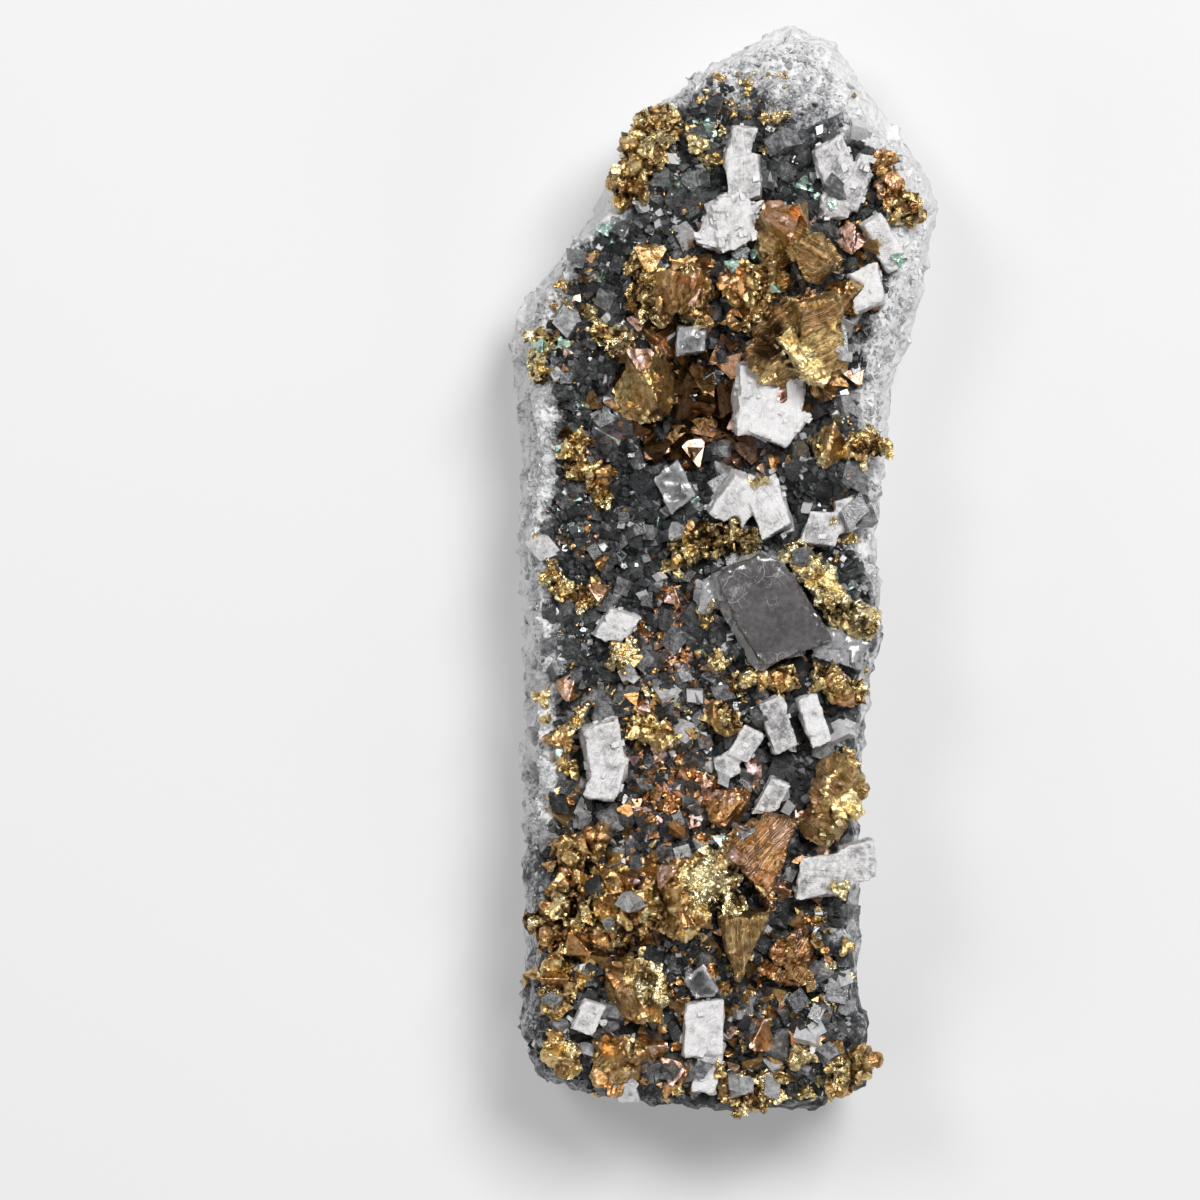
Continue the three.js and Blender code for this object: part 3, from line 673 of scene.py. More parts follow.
class Front:
    """The slab's front seen from above: how far in from its left and right edges a point lies."""

    ROW = 1.0

    def __init__(self, points, upward):
        front = points[(upward > 0.6) & (points[:, 2] > FRONT_HEIGHT)]
        self.rows = np.arange(front[:, 1].min(), front[:, 1].max(), self.ROW)
        nearest = np.abs(front[:, 1, None] - self.rows[None]) < self.ROW
        self.left = np.array([front[near, 0].min() for near in nearest.T])
        self.right = np.array([front[near, 0].max() for near in nearest.T])
        self.top = self.rows[-1]
        self.foot = self.rows[0]

    def insets(self, points):
        """How far in from the left and the right edge each point lies."""
        left = np.interp(points[:, 1], self.rows, self.left)
        right = np.interp(points[:, 1], self.rows, self.right)
        return points[:, 0] - left, right - points[:, 0]

    def inset(self, points):
        """How far in from the nearest edge each point lies."""
        ends = np.minimum(self.top - points[:, 1], points[:, 1] - self.foot)
        return np.minimum(np.minimum(*self.insets(points)), ends)


# The pale parts of the front, in millimetres: from where to where the tip whitens upward, how wide
# the side rims are, and between which heights they fade towards the foot.
TIP_RISE = (34.5, 46.0)
LEFT_RIM = (0.2, 3.4)
RIGHT_RIM = (0.4, 2.8)
LEFT_FADE = (-28, -20)
RIGHT_FADE = (-8, -3)
RIGHT_RISE = (18, 30)


def paleness(front, points):
    """How pale the front is: sugary at the tip and along its rims."""
    x, y = points[:, 0], points[:, 1]
    from_left, from_right = front.insets(points)
    wander = 1.4 * layered_noise(points, 3.5, seed=17)
    tip = 0.7 * ramp(y + 0.15 * x + 2.6 * wander, *TIP_RISE)
    upper = ramp(y + wander, *LEFT_FADE)
    left = (1 - ramp(from_left + wander, *LEFT_RIM)) * (0.44 + 0.3 * upper)
    flank = ramp(y + wander, *RIGHT_FADE) * (0.6 + 0.4 * ramp(y, *RIGHT_RISE))
    right = (1 - ramp(from_right + wander, *RIGHT_RIM)) * (0.25 + 0.75 * flank)
    return np.clip(np.maximum.reduce([tip, left, right]), 0, 1)


def make_rock():
    """The slab's broken skin: pale flanks, whiter to the upper right and greyer at the foot."""
    shape, outward = fine_skin(solid_of("rock_matrix"), ROCK_VOXEL)
    points = shape.corners
    x, y, z = points.T
    front = Front(points, outward[:, 2])
    flank = np.maximum(1 - ramp(outward[:, 2], 0.3, 0.7), 0.85 * ramp(12.5 - z, 0, 3))
    # Painted light: the pale flanks are painted lighter to the upper right, where the light falls, and
    # greyer towards the foot.
    grey = 0.6 + 0.5 * ramp(x + y, 8, 30) - 0.3 * ramp(-y, 30, 44)
    pale = np.maximum(paleness(front, points), flank * grey)
    break_up = facets(points, 2.6, seed=5)[0] * 0.3 + facets(points, 1.2, seed=6)[0] * 0.3
    grain = layered_noise(points, 0.9, seed=7) * 0.14
    off_the_ground = ramp(z, 0.2, 1.5)
    height = (break_up * (0.6 + 0.4 * (1 - pale)) + grain - 0.12) * off_the_ground
    shape = raised(shape, outward, height).marked(pale=pale)
    rock = add_piece("rock_body", shape, rock_finish(), "rock", ["rock_matrix"], ROCK_CREASE)
    return rock, Ground(shape), front


# ---------------------------------------------------------------- small crystal forms


def turns(chance, count):
    """Random rotation matrices."""
    turned = chance.normal(size=(4, count))
    a, b, c, d = turned / np.linalg.norm(turned, axis=0)
    rows = [
        [1 - 2 * (c * c + d * d), 2 * (b * c - a * d), 2 * (b * d + a * c)],
        [2 * (b * c + a * d), 1 - 2 * (b * b + d * d), 2 * (c * d - a * b)],
        [2 * (b * d - a * c), 2 * (c * d + a * b), 1 - 2 * (b * b + c * c)],
    ]
    return np.array(rows).transpose(2, 0, 1)


def hull(points):
    """The convex solid round some points."""
    solid = bmesh.new()
    for point in points:
        solid.verts.new(point)
    made = bmesh.ops.convex_hull(solid, input=solid.verts)
    inner = [v for v in made["geom_interior"] if isinstance(v, bmesh.types.BMVert)]
    bmesh.ops.delete(solid, geom=inner, context="VERTS")
    flat = math.radians(2)
    bmesh.ops.dissolve_limit(solid, angle_limit=flat, verts=solid.verts, edges=solid.edges)
    shape = shape_of_solid(solid)
    solid.free()
    return shape


def framed(shape, rim):
    """The same solid with a narrow rim round every face, its own corners marked as edge."""
    solid = bmesh.new()
    corners = [solid.verts.new(corner) for corner in shape.corners]
    for ring in rings(shape):
        solid.faces.new([corners[i] for i in ring])
    bmesh.ops.inset_individual(solid, faces=solid.faces[:], thickness=rim, use_even_offset=True)
    made = shape_of_solid(solid)
    solid.free()
    return made.marked(edge=np.arange(len(made.corners)) < len(corners))


def block_form(chance, cut_corners):
    """A block of one millimetre, some of its corners broken off."""
    points = []
    for corner in itertools.product((-0.5, 0.5), repeat=3):
        if chance.random() >= cut_corners:
            points.append(corner)
            continue
        for axis in range(3):
            cut = list(corner)
            cut[axis] *= 1 - chance.uniform(0.3, 0.9)
            points.append(tuple(cut))
    return hull(points)


def rhomb_form(chance, cut_corners):
    """A block leaned over as cleavage rhombs are."""
    block = block_form(chance, cut_corners)
    skew = math.tan(math.radians(15))
    x, y, z = block.corners.T
    block.corners = np.array([x + skew * y, y, z + 0.5 * skew * x]).T
    return block


def tetrahedron_form(chance):
    """Chalcopyrite's own form: a tetrahedron with small faces on its corners."""
    corners = np.array([(1, 1, 1), (-1, -1, 1), (-1, 1, -1), (1, -1, -1)]) * 0.5
    points = []
    for i, corner in enumerate(corners):
        cut = chance.uniform(0.04, 0.2)
        points += [corner + (corners[j] - corner) * cut for j in range(4) if j != i]
    return hull(points)


def crumb_form(chance):
    """An uneven grain."""
    around = chance.normal(size=(9, 3))
    around /= np.linalg.norm(around, axis=1)[:, None]
    return hull(around * 0.5 * chance.uniform(0.75, 1.15, (9, 1)))


def flake_form(chance):
    """A thin torn flake."""
    crumb = crumb_form(chance)
    crumb.corners = crumb.corners * (1.25, 0.8, 0.34)
    return crumb


def nugget_form(chance, number):
    """A torn lump whose skin is crinkled and broken into small faces."""
    core = crumb_form(chance) if number % 2 else tetrahedron_form(chance)
    shape, outward = fine_skin(core, NUGGET_VOXEL)
    seed = 900 + 10 * number
    torn = facets(shape.corners, 0.4, seed)[0] * 0.5 + crinkle(shape.corners, 0.5, seed + 1) * 0.14
    return raised(shape, outward, torn - 0.07)


def twin_form(chance, number):
    """A tetrahedron with chipped edges, a smaller one grown through it."""
    large = tetrahedron_form(chance)
    small = tetrahedron_form(chance)
    small.corners = (small.corners @ turns(chance, 1)[0]) * 0.6 + chance.uniform(-0.25, 0.25, 3)
    shape, outward = fine_skin(joined([large, small]), TWIN_VOXEL)
    seed = 1000 + 10 * number
    return raised(shape, outward, np.minimum(facets(shape.corners, 0.35, seed)[0], 0) * 0.15)


# Seeds of chance, one for each kind of growth, so that one can change without the others.
FORM_SEED = 20
DRUSE_SEED = 41
METAL_SEED = 61
PATCH_SEED = 83
PALE_SEED = 97
PLACE_SEED = 113
BAR_SEED = 131

CHANCE = np.random.default_rng(FORM_SEED)
RHOMBS = [rhomb_form(CHANCE, 0) for _ in range(3)] + [rhomb_form(CHANCE, 0.25) for _ in range(5)]
FORMS = {
    "rhomb": RHOMBS,
    "framed_rhomb": [framed(rhomb, 0.1) for rhomb in RHOMBS],
    "block": [block_form(CHANCE, 0) for _ in range(3)] + [block_form(CHANCE, 0.2) for _ in range(5)],
    "tetrahedron": [tetrahedron_form(CHANCE) for _ in range(6)],
    "crumb": [crumb_form(CHANCE) for _ in range(10)],
    "flake": [flake_form(CHANCE) for _ in range(8)],
    "nugget": [nugget_form(CHANCE, number) for number in range(8)],
    "twin": [twin_form(CHANCE, number) for number in range(8)],
}


def leanings(chance, count, lean):
    """Rotation matrices that spin freely but lean only a little from upright, in degrees."""
    made = []
    for _ in range(count):
        tilt = np.radians(chance.normal(0, lean, 2))
        made.append(Euler((*tilt, chance.uniform(0, math.tau))).to_matrix())
    return np.array(made)


def placed(chance, forms, places, frames, **marks):
    """Copies of some small forms, each with its own axes, at given places."""
    kinds = chance.integers(len(forms), size=len(places))
    made = []
    for kind, form in enumerate(forms):
        chosen = np.flatnonzero(kinds == kind)
        if not len(chosen):
            continue
        corners = np.einsum("nij,kj->nki", frames[chosen], form.corners) + places[chosen][:, None]
        count = len(form.corners)
        starts = np.arange(len(chosen)) * count
        copies = Shape(
            corners.reshape(-1, 3),
            (form.loops[None] + starts[:, None]).ravel(),
            np.tile(form.sizes, len(chosen)),
            {name: np.repeat(values[chosen], count) for name, values in marks.items()},
        )
        for name, values in form.marks.items():
            copies.marks[name] = np.tile(values, len(chosen))
        made.append(copies)
    return joined(made)


def grown(chance, forms, places, sizes, lean=None, **marks):
    """Copies of some small forms at given places and sizes, turned at random or nearly upright."""
    count = len(places)
    stretch = sizes[:, None] * chance.uniform(0.8, 1.2, (count, 3))
    frames = turns(chance, count) if lean is None else leanings(chance, count, lean)
    return placed(chance, forms, places, frames * stretch[:, None], **marks)


class Ground:
    """A skin that small crystals can be sown on."""

    def __init__(self, shape):
        starts = np.concatenate([[0], np.cumsum(shape.sizes)[:-1]])
        quads = shape.loops[starts[:, None] + np.arange(3)]
        a, b, c = (shape.corners[quads[:, i]] for i in range(3))
        normal = np.cross(b - a, c - a)
        length = np.linalg.norm(normal, axis=1)
        self.area = length / 2
        self.normals = normal / np.maximum(length, 1e-9)[:, None]
        self.middles = (a + b + c) / 3

    def sow(self, chance, weights, count):
        """Places and outward directions, picked by weight and area."""
        share = np.cumsum(self.area * weights)
        chosen = np.searchsorted(share, chance.uniform(0, share[-1], count))
        return self.middles[chosen], self.normals[chosen]


def ellipse_weight(points, x, y, across, along):
    """1 in the middle of an ellipse, falling off beyond its reaches."""
    away = ((points[:, 0] - x) / across) ** 2 + ((points[:, 1] - y) / along) ** 2
    return np.exp(-away * 1.2)


def upward_weight(ground):
    """1 on the faces of the front that look up, 0 on the flanks and the back."""
    return ramp(ground.normals[:, 2], 0.15, 0.5) * (ground.middles[:, 2] > FRONT_HEIGHT)


# ---------------------------------------------------------------- the druse on the front


@dataclass
class Druse:
    """One size of the rhombs that cover the front, in millimetres."""

    count: int
    smallest: float
    largest: float
    rim: float
    form: str
    tone: tuple


DRUSES = {
    "druse_fine": Druse(8900, 0.3, 0.75, 0.8, "rhomb", (0.0, 0.36)),
    "druse_medium": Druse(950, 0.6, 1.3, 1.4, "framed_rhomb", (0.0, 0.42)),
    "druse_coarse": Druse(130, 1.2, 1.9, 3.0, "framed_rhomb", (0.1, 0.55)),
}

# The shares of the druse's rhombs that are grey or brighter, and white, with their tones.
GREY_SHARE = (0.2, (0.36, 0.66))
WHITE_SHARE = (0.06, (0.75, 1.0))

SUGAR_GRAINS = 3000
SUGAR_SIZES = (0.3, 1.1)


def druse_layer(ground, front, chance, layer):
    """Rhombs over the dark of the front, kept a rim's width in from its edges."""
    inside = ramp(front.inset(ground.middles), layer.rim * 0.3, layer.rim)
    dark = 1 - ramp(paleness(front, ground.middles), 0.25, 0.6)
    clumps = 0.4 + ramp(layered_noise(ground.middles, 2.5, seed=31), -0.4, 0.4)
    weights = upward_weight(ground) * inside * dark * clumps
    count = layer.count
    places, normals = ground.sow(chance, weights, count)
    sizes = layer.smallest + (layer.largest - layer.smallest) * chance.random(count) ** 2
    tone = chance.uniform(*layer.tone, count)
    brighter = chance.random(count)
    for share, tones in (GREY_SHARE, WHITE_SHARE):
        tone = np.where(brighter < share, chance.uniform(*tones, count), tone)
    places = places + normals * (sizes * 0.1)[:, None]
    return grown(chance, FORMS[layer.form], places, sizes, tone=tone)


def sugar_layer(ground, front, chance):
    """White and grey grains over the pale rims and the tip."""
    pale = ramp(paleness(front, ground.middles), 0.2, 0.6)
    places, _ = ground.sow(chance, upward_weight(ground) * pale, SUGAR_GRAINS)
    smallest, largest = SUGAR_SIZES
    sizes = smallest + (largest - smallest) * chance.random(SUGAR_GRAINS) ** 4
    whiter = layered_noise(places, 1.6, seed=57) * 0.3 + paleness(front, places) * 0.55 + 0.42
    tone = np.clip(whiter + chance.normal(0, 0.06, SUGAR_GRAINS), 0.72, 1.1)
    return grown(chance, FORMS["crumb"], places, sizes, tone=tone)


def make_druse(ground, front, clear):
    dull = druse_finish()
    chance = np.random.default_rng(DRUSE_SEED)
    for name, layer in DRUSES.items():
        finish = dull if layer.form == "rhomb" else clear
        add_piece(name, druse_layer(ground, front, chance, layer), finish, "rock")
    add_piece("sugary_rims", sugar_layer(ground, front, chance), dull, "rock")


# ---------------------------------------------------------------- chalcopyrite


@dataclass
class Metal:
    """How one chalcopyrite node is finished: tarnish runs from brass, 0, to teal, 1.

    Its bright side is the compass way, in degrees from +X, in which its torn golden faces look. A
    pit is (x, y, reach, depth) and a torn place (x, y, reach) in millimetres. The seams between the
    grains of a grown-together mass have a depth.
    """

    tarnish: float = 0.3
    hackly: float = 0.5
    relief: float = 1.0
    striae: float = None
    crumbs: float = 0.3
    fresh: float = 0.08
    bright_side: float = None
    pits: tuple = ()
    torn: tuple = ()
    seams: float = 0.0


METALS = {
    "large_crystal": Metal(
        0.24,
        0.12,
        0.8,
        striae=-62,
        crumbs=0.1,
        pits=((4.2, 19.2, 1.2, 1.6), (4.6, 21.0, 0.8, 0.8)),
        torn=((5.6, 20.6, 1.0), (6.2, 19.2, 1.2), (7.2, 17.6, 1.4), (8.4, 16.2, 1.1)),
    ),
    "block_left": Metal(0.24, 0.42, 0.7, crumbs=0.1, fresh=0.14, bright_side=-90),
    "group_upper_left": Metal(
        0.24, 0.4, 0.9, bright_side=215, pits=((-4.0, 24.4, 1.1, 0.7),), seams=0.3
    ),
    "dark_group": Metal(0.3, 0.5, 1.2, fresh=0.16, bright_side=-60, seams=0.4),
    "striated_group": Metal(0.22, 0.1, 0.6, striae=65, crumbs=0.05),
    "block_right": Metal(0.32, 0.3, 0.8, fresh=0.2),
    "crust_upper_left": Metal(0.28, 0.6, 1.2, crumbs=0.6, fresh=0.14, seams=0.5),
    "crust_upper_right": Metal(0.46, 0.45, 1.2, fresh=0.2, seams=0.5),
    "tetra_right": Metal(0.3, 0.3, 0.4, crumbs=0.05, bright_side=200),
    "lump_right": Metal(0.16, 0.8, 1.2, crumbs=0.8, seams=0.3),
    "flake_left": Metal(0.16, 0.8, 1.2, crumbs=0.5, seams=0.3),
    "crust_left_edge": Metal(0.3, 0.7, 1.2, crumbs=0.7, seams=0.4),
    "chain_left": Metal(0.34, 0.6, 1.3, crumbs=0.7, fresh=0.14, seams=0.4),
    "sponge_centre": Metal(
        0.28,
        0.95,
        1.5,
        crumbs=0.8,
        fresh=0.04,
        pits=((-1.6, 2.4, 0.7, 1.2), (1.0, 1.4, 0.6, 1.0)),
        seams=0.7,
    ),
    "ridge_right": Metal(0.12, 0.6, 1.0, crumbs=0.2, fresh=-0.03, seams=0.4),
    "crust_below_tablet": Metal(0.28, 0.6, 1.2, crumbs=0.6, seams=0.4),
    "pair_right": Metal(0.32, 0.45, 1.0, bright_side=150, seams=0.3),
    "bar_left": Metal(0.3, 0.7, 1.0, crumbs=0.4, seams=0.3),
    "nugget_left": Metal(0.14, 0.6, 1.0, crumbs=0.3, seams=0.3),
    "group_left": Metal(0.32, 0.4, 0.8, bright_side=60, seams=0.3),
    "nugget_centre": Metal(0.26, 0.6, 1.1, seams=0.3),
    "knob_centre": Metal(0.3, 0.45, 0.9, bright_side=30),
    "bright_crystal": Metal(
        0.26, 0.2, 0.8, fresh=-0.05, striae=70, bright_side=20, torn=((12.8, -22.0, 1.4),), seams=0.2
    ),
    "tarnished_knob": Metal(0.5, 0.1, 0.5, crumbs=0.1, fresh=0.3),
    "fan_centre": Metal(0.5, 0.3, 0.8, striae=-40, fresh=0.2),
    "mass_centre": Metal(
        0.32, 0.2, 1.0, fresh=0.06, torn=((-0.2, -27.8, 2.2), (1.0, -30.0, 1.4)), seams=0.3
    ),
    "striated_wedge": Metal(0.3, 0.1, 0.6, striae=2, crumbs=0.05, bright_side=0),
    "mass_left": Metal(0.32, 0.45, 1.2, crumbs=0.45, fresh=0.08, seams=0.7),
    "cluster_left": Metal(0.34, 0.3, 1.1, fresh=0.14, seams=0.6),
    "crust_low_left": Metal(0.32, 0.45, 1.2, crumbs=0.5, fresh=0.14, seams=0.7),
    "block_low": Metal(0.32, 0.25, 0.9, fresh=0.0, bright_side=-45, torn=((-5.5, -37.4, 1.6),)),
    "corner_left": Metal(0.3, 0.4, 0.9, bright_side=40, seams=0.2),
    "block_bottom": Metal(0.32, 0.4, 0.9, fresh=0.12, bright_side=60, seams=0.2),
    "corner_right": Metal(0.32, 0.55, 1.2, seams=0.4),
    "fan_right": Metal(0.44, 0.45, 1.0, striae=-30, fresh=0.12, seams=0.4),
    "bottom_crust": Metal(0.28, 0.6, 1.3, crumbs=0.5, seams=0.4),
}


def nearness(points, x, y, reach):
    """1 at a place, falling off round it."""
    return np.exp(-((points[:, 0] - x) ** 2 + (points[:, 1] - y) ** 2) / reach**2)


# Chalcopyrite's broken skin, in millimetres: the faces of single crystals and of grown-together
# masses, the flakes, fine faces and folds of its torn stretches, and its striae.
CRYSTAL_FACE = 2.8
MASS_FACE = 1.9
FLAKE = 1.05
FINE_FACE = 0.45
FOLD = 1.5
STRIA_WIDTH = 0.85
STRIA_HEIGHT = 0.2


class Breaks:
    """How a node's skin is broken, corner by corner.

    Hackly is 1 in torn stretches. Bared is how near a torn place lies, sunk how deep the seams and
    pits go, creased how deep in a fold a corner lies, and ridged how strong the striae are.
    """

    def __init__(self, points, outward, metal, seed):
        self.points = points
        self.metal = metal
        self.seed = seed
        self.grained = metal.seams > 0
        self.bright = self.brightness(outward)
        self.bared = sum((nearness(points, *place) for place in metal.torn), np.zeros(len(points)))
        patch = layered_noise(points, 2.6, seed, 2) + metal.hackly * 1.6 - 0.8 + 0.5 * self.bright
        self.hackly = ramp(patch + 1.4 * self.bared, -0.12, 0.12)
        face = MASS_FACE if self.grained else CRYSTAL_FACE
        self.faces, self.face_chance, seam = facets(points, face, seed + 1)
        self.flakes, self.flake_chance, _ = facets(points, FLAKE, seed + 2)
        self.folds = crinkle(points, FOLD, seed + 3)
        self.creased = ramp(0.4 - self.folds, 0, 0.4)
        self.sunk = metal.seams * (seam * ramp(layered_noise(points, 1.5, seed + 8), -0.5, 0.1))
        self.sunk += sum(nearness(points, *place) * depth for *place, depth in metal.pits)
        self.across = self.striae_distance(math.radians(metal.striae or 0))
        self.ridged = (1 - 0.8 * self.hackly) * (metal.striae is not None)

    def brightness(self, outward):
        """How far each corner looks towards the bright side, if there is one."""
        if self.metal.bright_side is None:
            return 0
        way = math.radians(self.metal.bright_side)
        return outward[:, 0] * math.cos(way) + outward[:, 1] * math.sin(way)

    def striae_distance(self, heading):
        """The distance along a heading, which wanders a little: striae run across it."""
        distance = self.points @ np.array([math.cos(heading), 0, 0.25])
        distance += self.points[:, 1] * math.sin(heading)
        return distance + 0.12 * soft_noise(self.points, 1.5, self.seed + 4)

    def height(self):
        """How far the skin stands over the solid."""
        fine = facets(self.points, FINE_FACE, self.seed + 7)[0]
        torn = self.flakes * 0.42 + fine * 0.3 + self.folds * 0.3 - 0.2
        height = self.faces * (0.42 if self.grained else 0.26) + torn * self.hackly
        height += self.flakes * 0.13 * (1 - self.hackly)
        height += 0.05 * layered_noise(self.points, 0.9, self.seed + 6)
        height += STRIA_HEIGHT * self.ridged * np.abs(np.mod(self.across / STRIA_WIDTH, 1) * 2 - 1)
        return height - self.sunk

    def tarnish(self):
        """Worn faces tarnish most, torn ones least, and both darken in seams and pits."""
        uneven = (0.3 if self.grained else 0.18) * (self.face_chance - 0.5)
        worn = self.metal.tarnish + uneven + 0.12 * layered_noise(self.points, 1.8, self.seed + 5)
        worn += 0.12 * ramp(self.sunk, 0, 0.5) - 0.08 * self.bright
        fresh = self.metal.fresh + 0.24 * self.creased + 0.25 * (self.flake_chance - 0.5)
        fresh = fresh + uneven * 0.6
        fresh += 0.3 * ramp(self.sunk, 0.1, 0.6) - 0.12 * ramp(self.bared, 0.2, 0.7)
        return np.clip(worn + (fresh - worn) * self.hackly, -0.05, 1)


def metal_skin(node, metal, seed):
    """A node's solid with satin faces, ridged where it is striated and torn in hackly stretches."""
    solid = solid_of(node)
    shape, outward = fine_skin(solid, METAL_VOXEL)
    edge = edge_nearness(shape.corners, solid, 0.45)
    breaks = Breaks(shape.corners, outward, metal, seed)
    return raised(shape, outward, breaks.height() * metal.relief - 0.03).marked(
        hackly=0.3 + 0.7 * breaks.hackly,
        tarnish=breaks.tarnish(),
        ridged=breaks.ridged,
        across=breaks.across,
        edge=edge * 0.6,
        # Painted shade: the crease mark darkens the folds of torn stretches, the seams between grains
        # and the pits.
        crease=np.clip(breaks.creased * breaks.hackly + ramp(breaks.sunk, 0.1, 0.7), 0, 1),
    )


def metal_copies(chance, forms, places, sizes, tarnish, hackly, shade=0.0):
    """Small chalcopyrite crystals, without striae."""
    none = sizes * 0
    # The crease mark carries painted shade, darker for crystals that lie in a hollow.
    marks = {"hackly": none + hackly, "tarnish": tarnish, "crease": none + shade}
    marks |= {name: none for name in ("ridged", "across", "edge")}
    return grown(chance, forms, places, sizes, **marks)


# How many crumbs a square millimetre of torn skin carries, their smallest size and its spread.
CRUMBS_PER_AREA = 1.5
CRUMB_SMALLEST = 0.3
CRUMB_SPREAD = 0.8


def metal_crumbs(skin, metal, chance):
    """Crumbs and torn flakes over a node's hackly stretches."""
    ground = Ground(skin)
    hackly = skin.marks["hackly"][[ring[0] for ring in rings(skin)]]
    weights = ramp(ground.normals[:, 2], -0.3, 0.3) * hackly
    count = 4 + int((ground.area * weights).sum() * CRUMBS_PER_AREA * metal.crumbs)
    places, normals = ground.sow(chance, weights + 1e-6, count)
    sizes = CRUMB_SMALLEST + CRUMB_SPREAD * chance.random(count) ** 2
    tarnish = metal.fresh + np.abs(chance.normal(0, 0.12, count))
    places = places + normals * (sizes * 0.12)[:, None]
    forms = FORMS["crumb"] + FORMS["flake"] + FORMS["tetrahedron"]
    return metal_copies(chance, forms, places, sizes, tarnish, 0.8)


def slot_of(node):
    subparts = frame["record"]["subparts"]
    return next(part["material_slot"] for part in subparts if part["node"] == node)


def make_chalcopyrite(finish):
    chance = np.random.default_rng(METAL_SEED)
    crumbs = {}
    made = []
    for number, (name, metal) in enumerate(METALS.items()):
        node = "chalcopyrite_" + name
        skin = metal_skin(node, metal, 100 + 10 * number)
        slot = slot_of(node)
        made.append(add_piece("hackly_" + name, skin, finish, slot, [node], METAL_CREASE))
        crumbs.setdefault(slot, []).append(metal_crumbs(skin, metal, chance))
    for slot, shapes in crumbs.items():
        add_piece(slot + "_crumbs", joined(shapes), finish, slot)
    return made


@dataclass
class Patch:
    """A stretch of the front sown with small metal crystals, in millimetres.

    Nuggets and tetrahedra are shares of the count, and crumbs are the rest. Shade is how dark the
    crystals are where they lie in a hollow.
    """

    x: float
    y: float
    across: float
    along: float
    count: int
    smallest: float
    largest: float
    tarnish: tuple
    nuggets: float = 0.05
    tetrahedra: float = 0.3
    shade: float = 0.0


PATCHES = {
    "pocket": Patch(-1.5, 15.0, 6.0, 4.2, 90, 1.2, 2.4, (0.34, 0.54), 0.0, 1.0, shade=0.9),
    "pocket_edge": Patch(1.0, 19.0, 8.0, 7.5, 60, 0.9, 2.2, (0.46, 0.54), 0.0, 1.0, shade=0.3),
    "copper_bed": Patch(-3.0, -20.5, 4.2, 3.6, 460, 0.3, 1.2, (0.38, 0.58), 0.12),
    "brown_bed": Patch(-4.0, -6.0, 2.4, 4.2, 260, 0.3, 1.0, (0.4, 0.7), 0.1),
    "iridescent_bed": Patch(-12.4, 6.2, 2.0, 4.6, 300, 0.25, 0.8, (0.4, 1.0)),
    "upper_left_flecks": Patch(-3.5, 34.0, 3.4, 6.0, 90, 0.3, 0.8, (0.0, 1.0)),
    "left_shoulder": Patch(-13.0, 22.5, 3.0, 4.5, 110, 0.3, 0.8, (0.05, 0.6)),
    "lower_left": Patch(-9.0, -31.0, 6.5, 7.0, 480, 0.35, 1.7, (0.08, 0.52), 0.16),
    "lower_middle": Patch(0.0, -36.0, 6.0, 6.0, 140, 0.35, 1.4, (0.1, 0.6), 0.2),
    "bottom": Patch(0.0, -44.0, 12.0, 4.0, 170, 0.4, 1.4, (0.08, 0.52), 0.18),
    "lower_right": Patch(8.5, -33.0, 4.0, 8.0, 110, 0.35, 1.3, (0.1, 0.6), 0.2),
    "right_shoulder": Patch(14.0, 30.0, 1.8, 5.5, 40, 0.35, 1.0, (0.25, 0.6), 0.2),
    "below_tablet": Patch(5.0, -11.5, 6.0, 2.4, 110, 0.35, 1.1, (0.1, 0.6), 0.2),
    "middle_left": Patch(-8.0, -13.0, 5.0, 4.5, 130, 0.35, 1.2, (0.08, 0.55), 0.18),
    "tip_flecks": Patch(1.0, 41.0, 4.5, 3.0, 56, 0.35, 1.1, (0.02, 0.3), 0.6, 0.05),
    "upper_middle": Patch(5.0, 26.0, 7.0, 5.0, 120, 0.4, 1.3, (0.3, 0.62), 0.1),
    "right_edge": Patch(12.0, 9.0, 2.0, 6.0, 60, 0.35, 1.0, (0.0, 0.5), 0.3),
    "left_edge": Patch(-14.0, -26.0, 2.0, 9.0, 90, 0.35, 0.9, (0.1, 0.5), 0.2),
    "left_flecks": Patch(-13.5, -4.0, 2.6, 6.0, 50, 0.3, 0.8, (0.0, 0.45), 0.2),
}


def make_patches(ground, front, finish):
    chance = np.random.default_rng(PATCH_SEED)
    base = upward_weight(ground) * ramp(front.inset(ground.middles), 0.5, 2.0)
    flat = []
    torn = []
    for patch in PATCHES.values():
        weights = base * ellipse_weight(ground.middles, patch.x, patch.y, patch.across, patch.along)
        places, normals = ground.sow(chance, weights, patch.count)
        span = patch.largest - patch.smallest
        sizes = patch.smallest + span * chance.random(patch.count) ** 1.6
        places = places + normals * (sizes * 0.3)[:, None]
        tarnish = chance.uniform(*patch.tarnish, patch.count)
        kind = chance.random(patch.count)
        groups = {
            "nugget": kind < patch.nuggets,
            "tetrahedron": (kind >= patch.nuggets) & (kind < patch.nuggets + patch.tetrahedra),
            "crumb": kind >= patch.nuggets + patch.tetrahedra,
        }
        for form, chosen in groups.items():
            if not chosen.any():
                continue
            hackly = 0.0 if form == "tetrahedron" else 0.7
            parts = (places[chosen], sizes[chosen], tarnish[chosen], hackly, patch.shade)
            copies = metal_copies(chance, FORMS[form], *parts)
            (torn if form == "nugget" else flat).append(copies)
    add_piece("sown_crystals", joined(flat), finish, "brassy_chalcopyrite")
    add_piece("sown_nuggets", joined(torn), finish, "copper_chalcopyrite", crease=SMALL_CREASE)


# ---------------------------------------------------------------- crystals with places of their own


@dataclass
class Growth:
    """Small metal crystals of one look, each at its own (x, y, size) in millimetres."""

    form: str
    tarnish: tuple
    hackly: float
    slot: str
    places: list


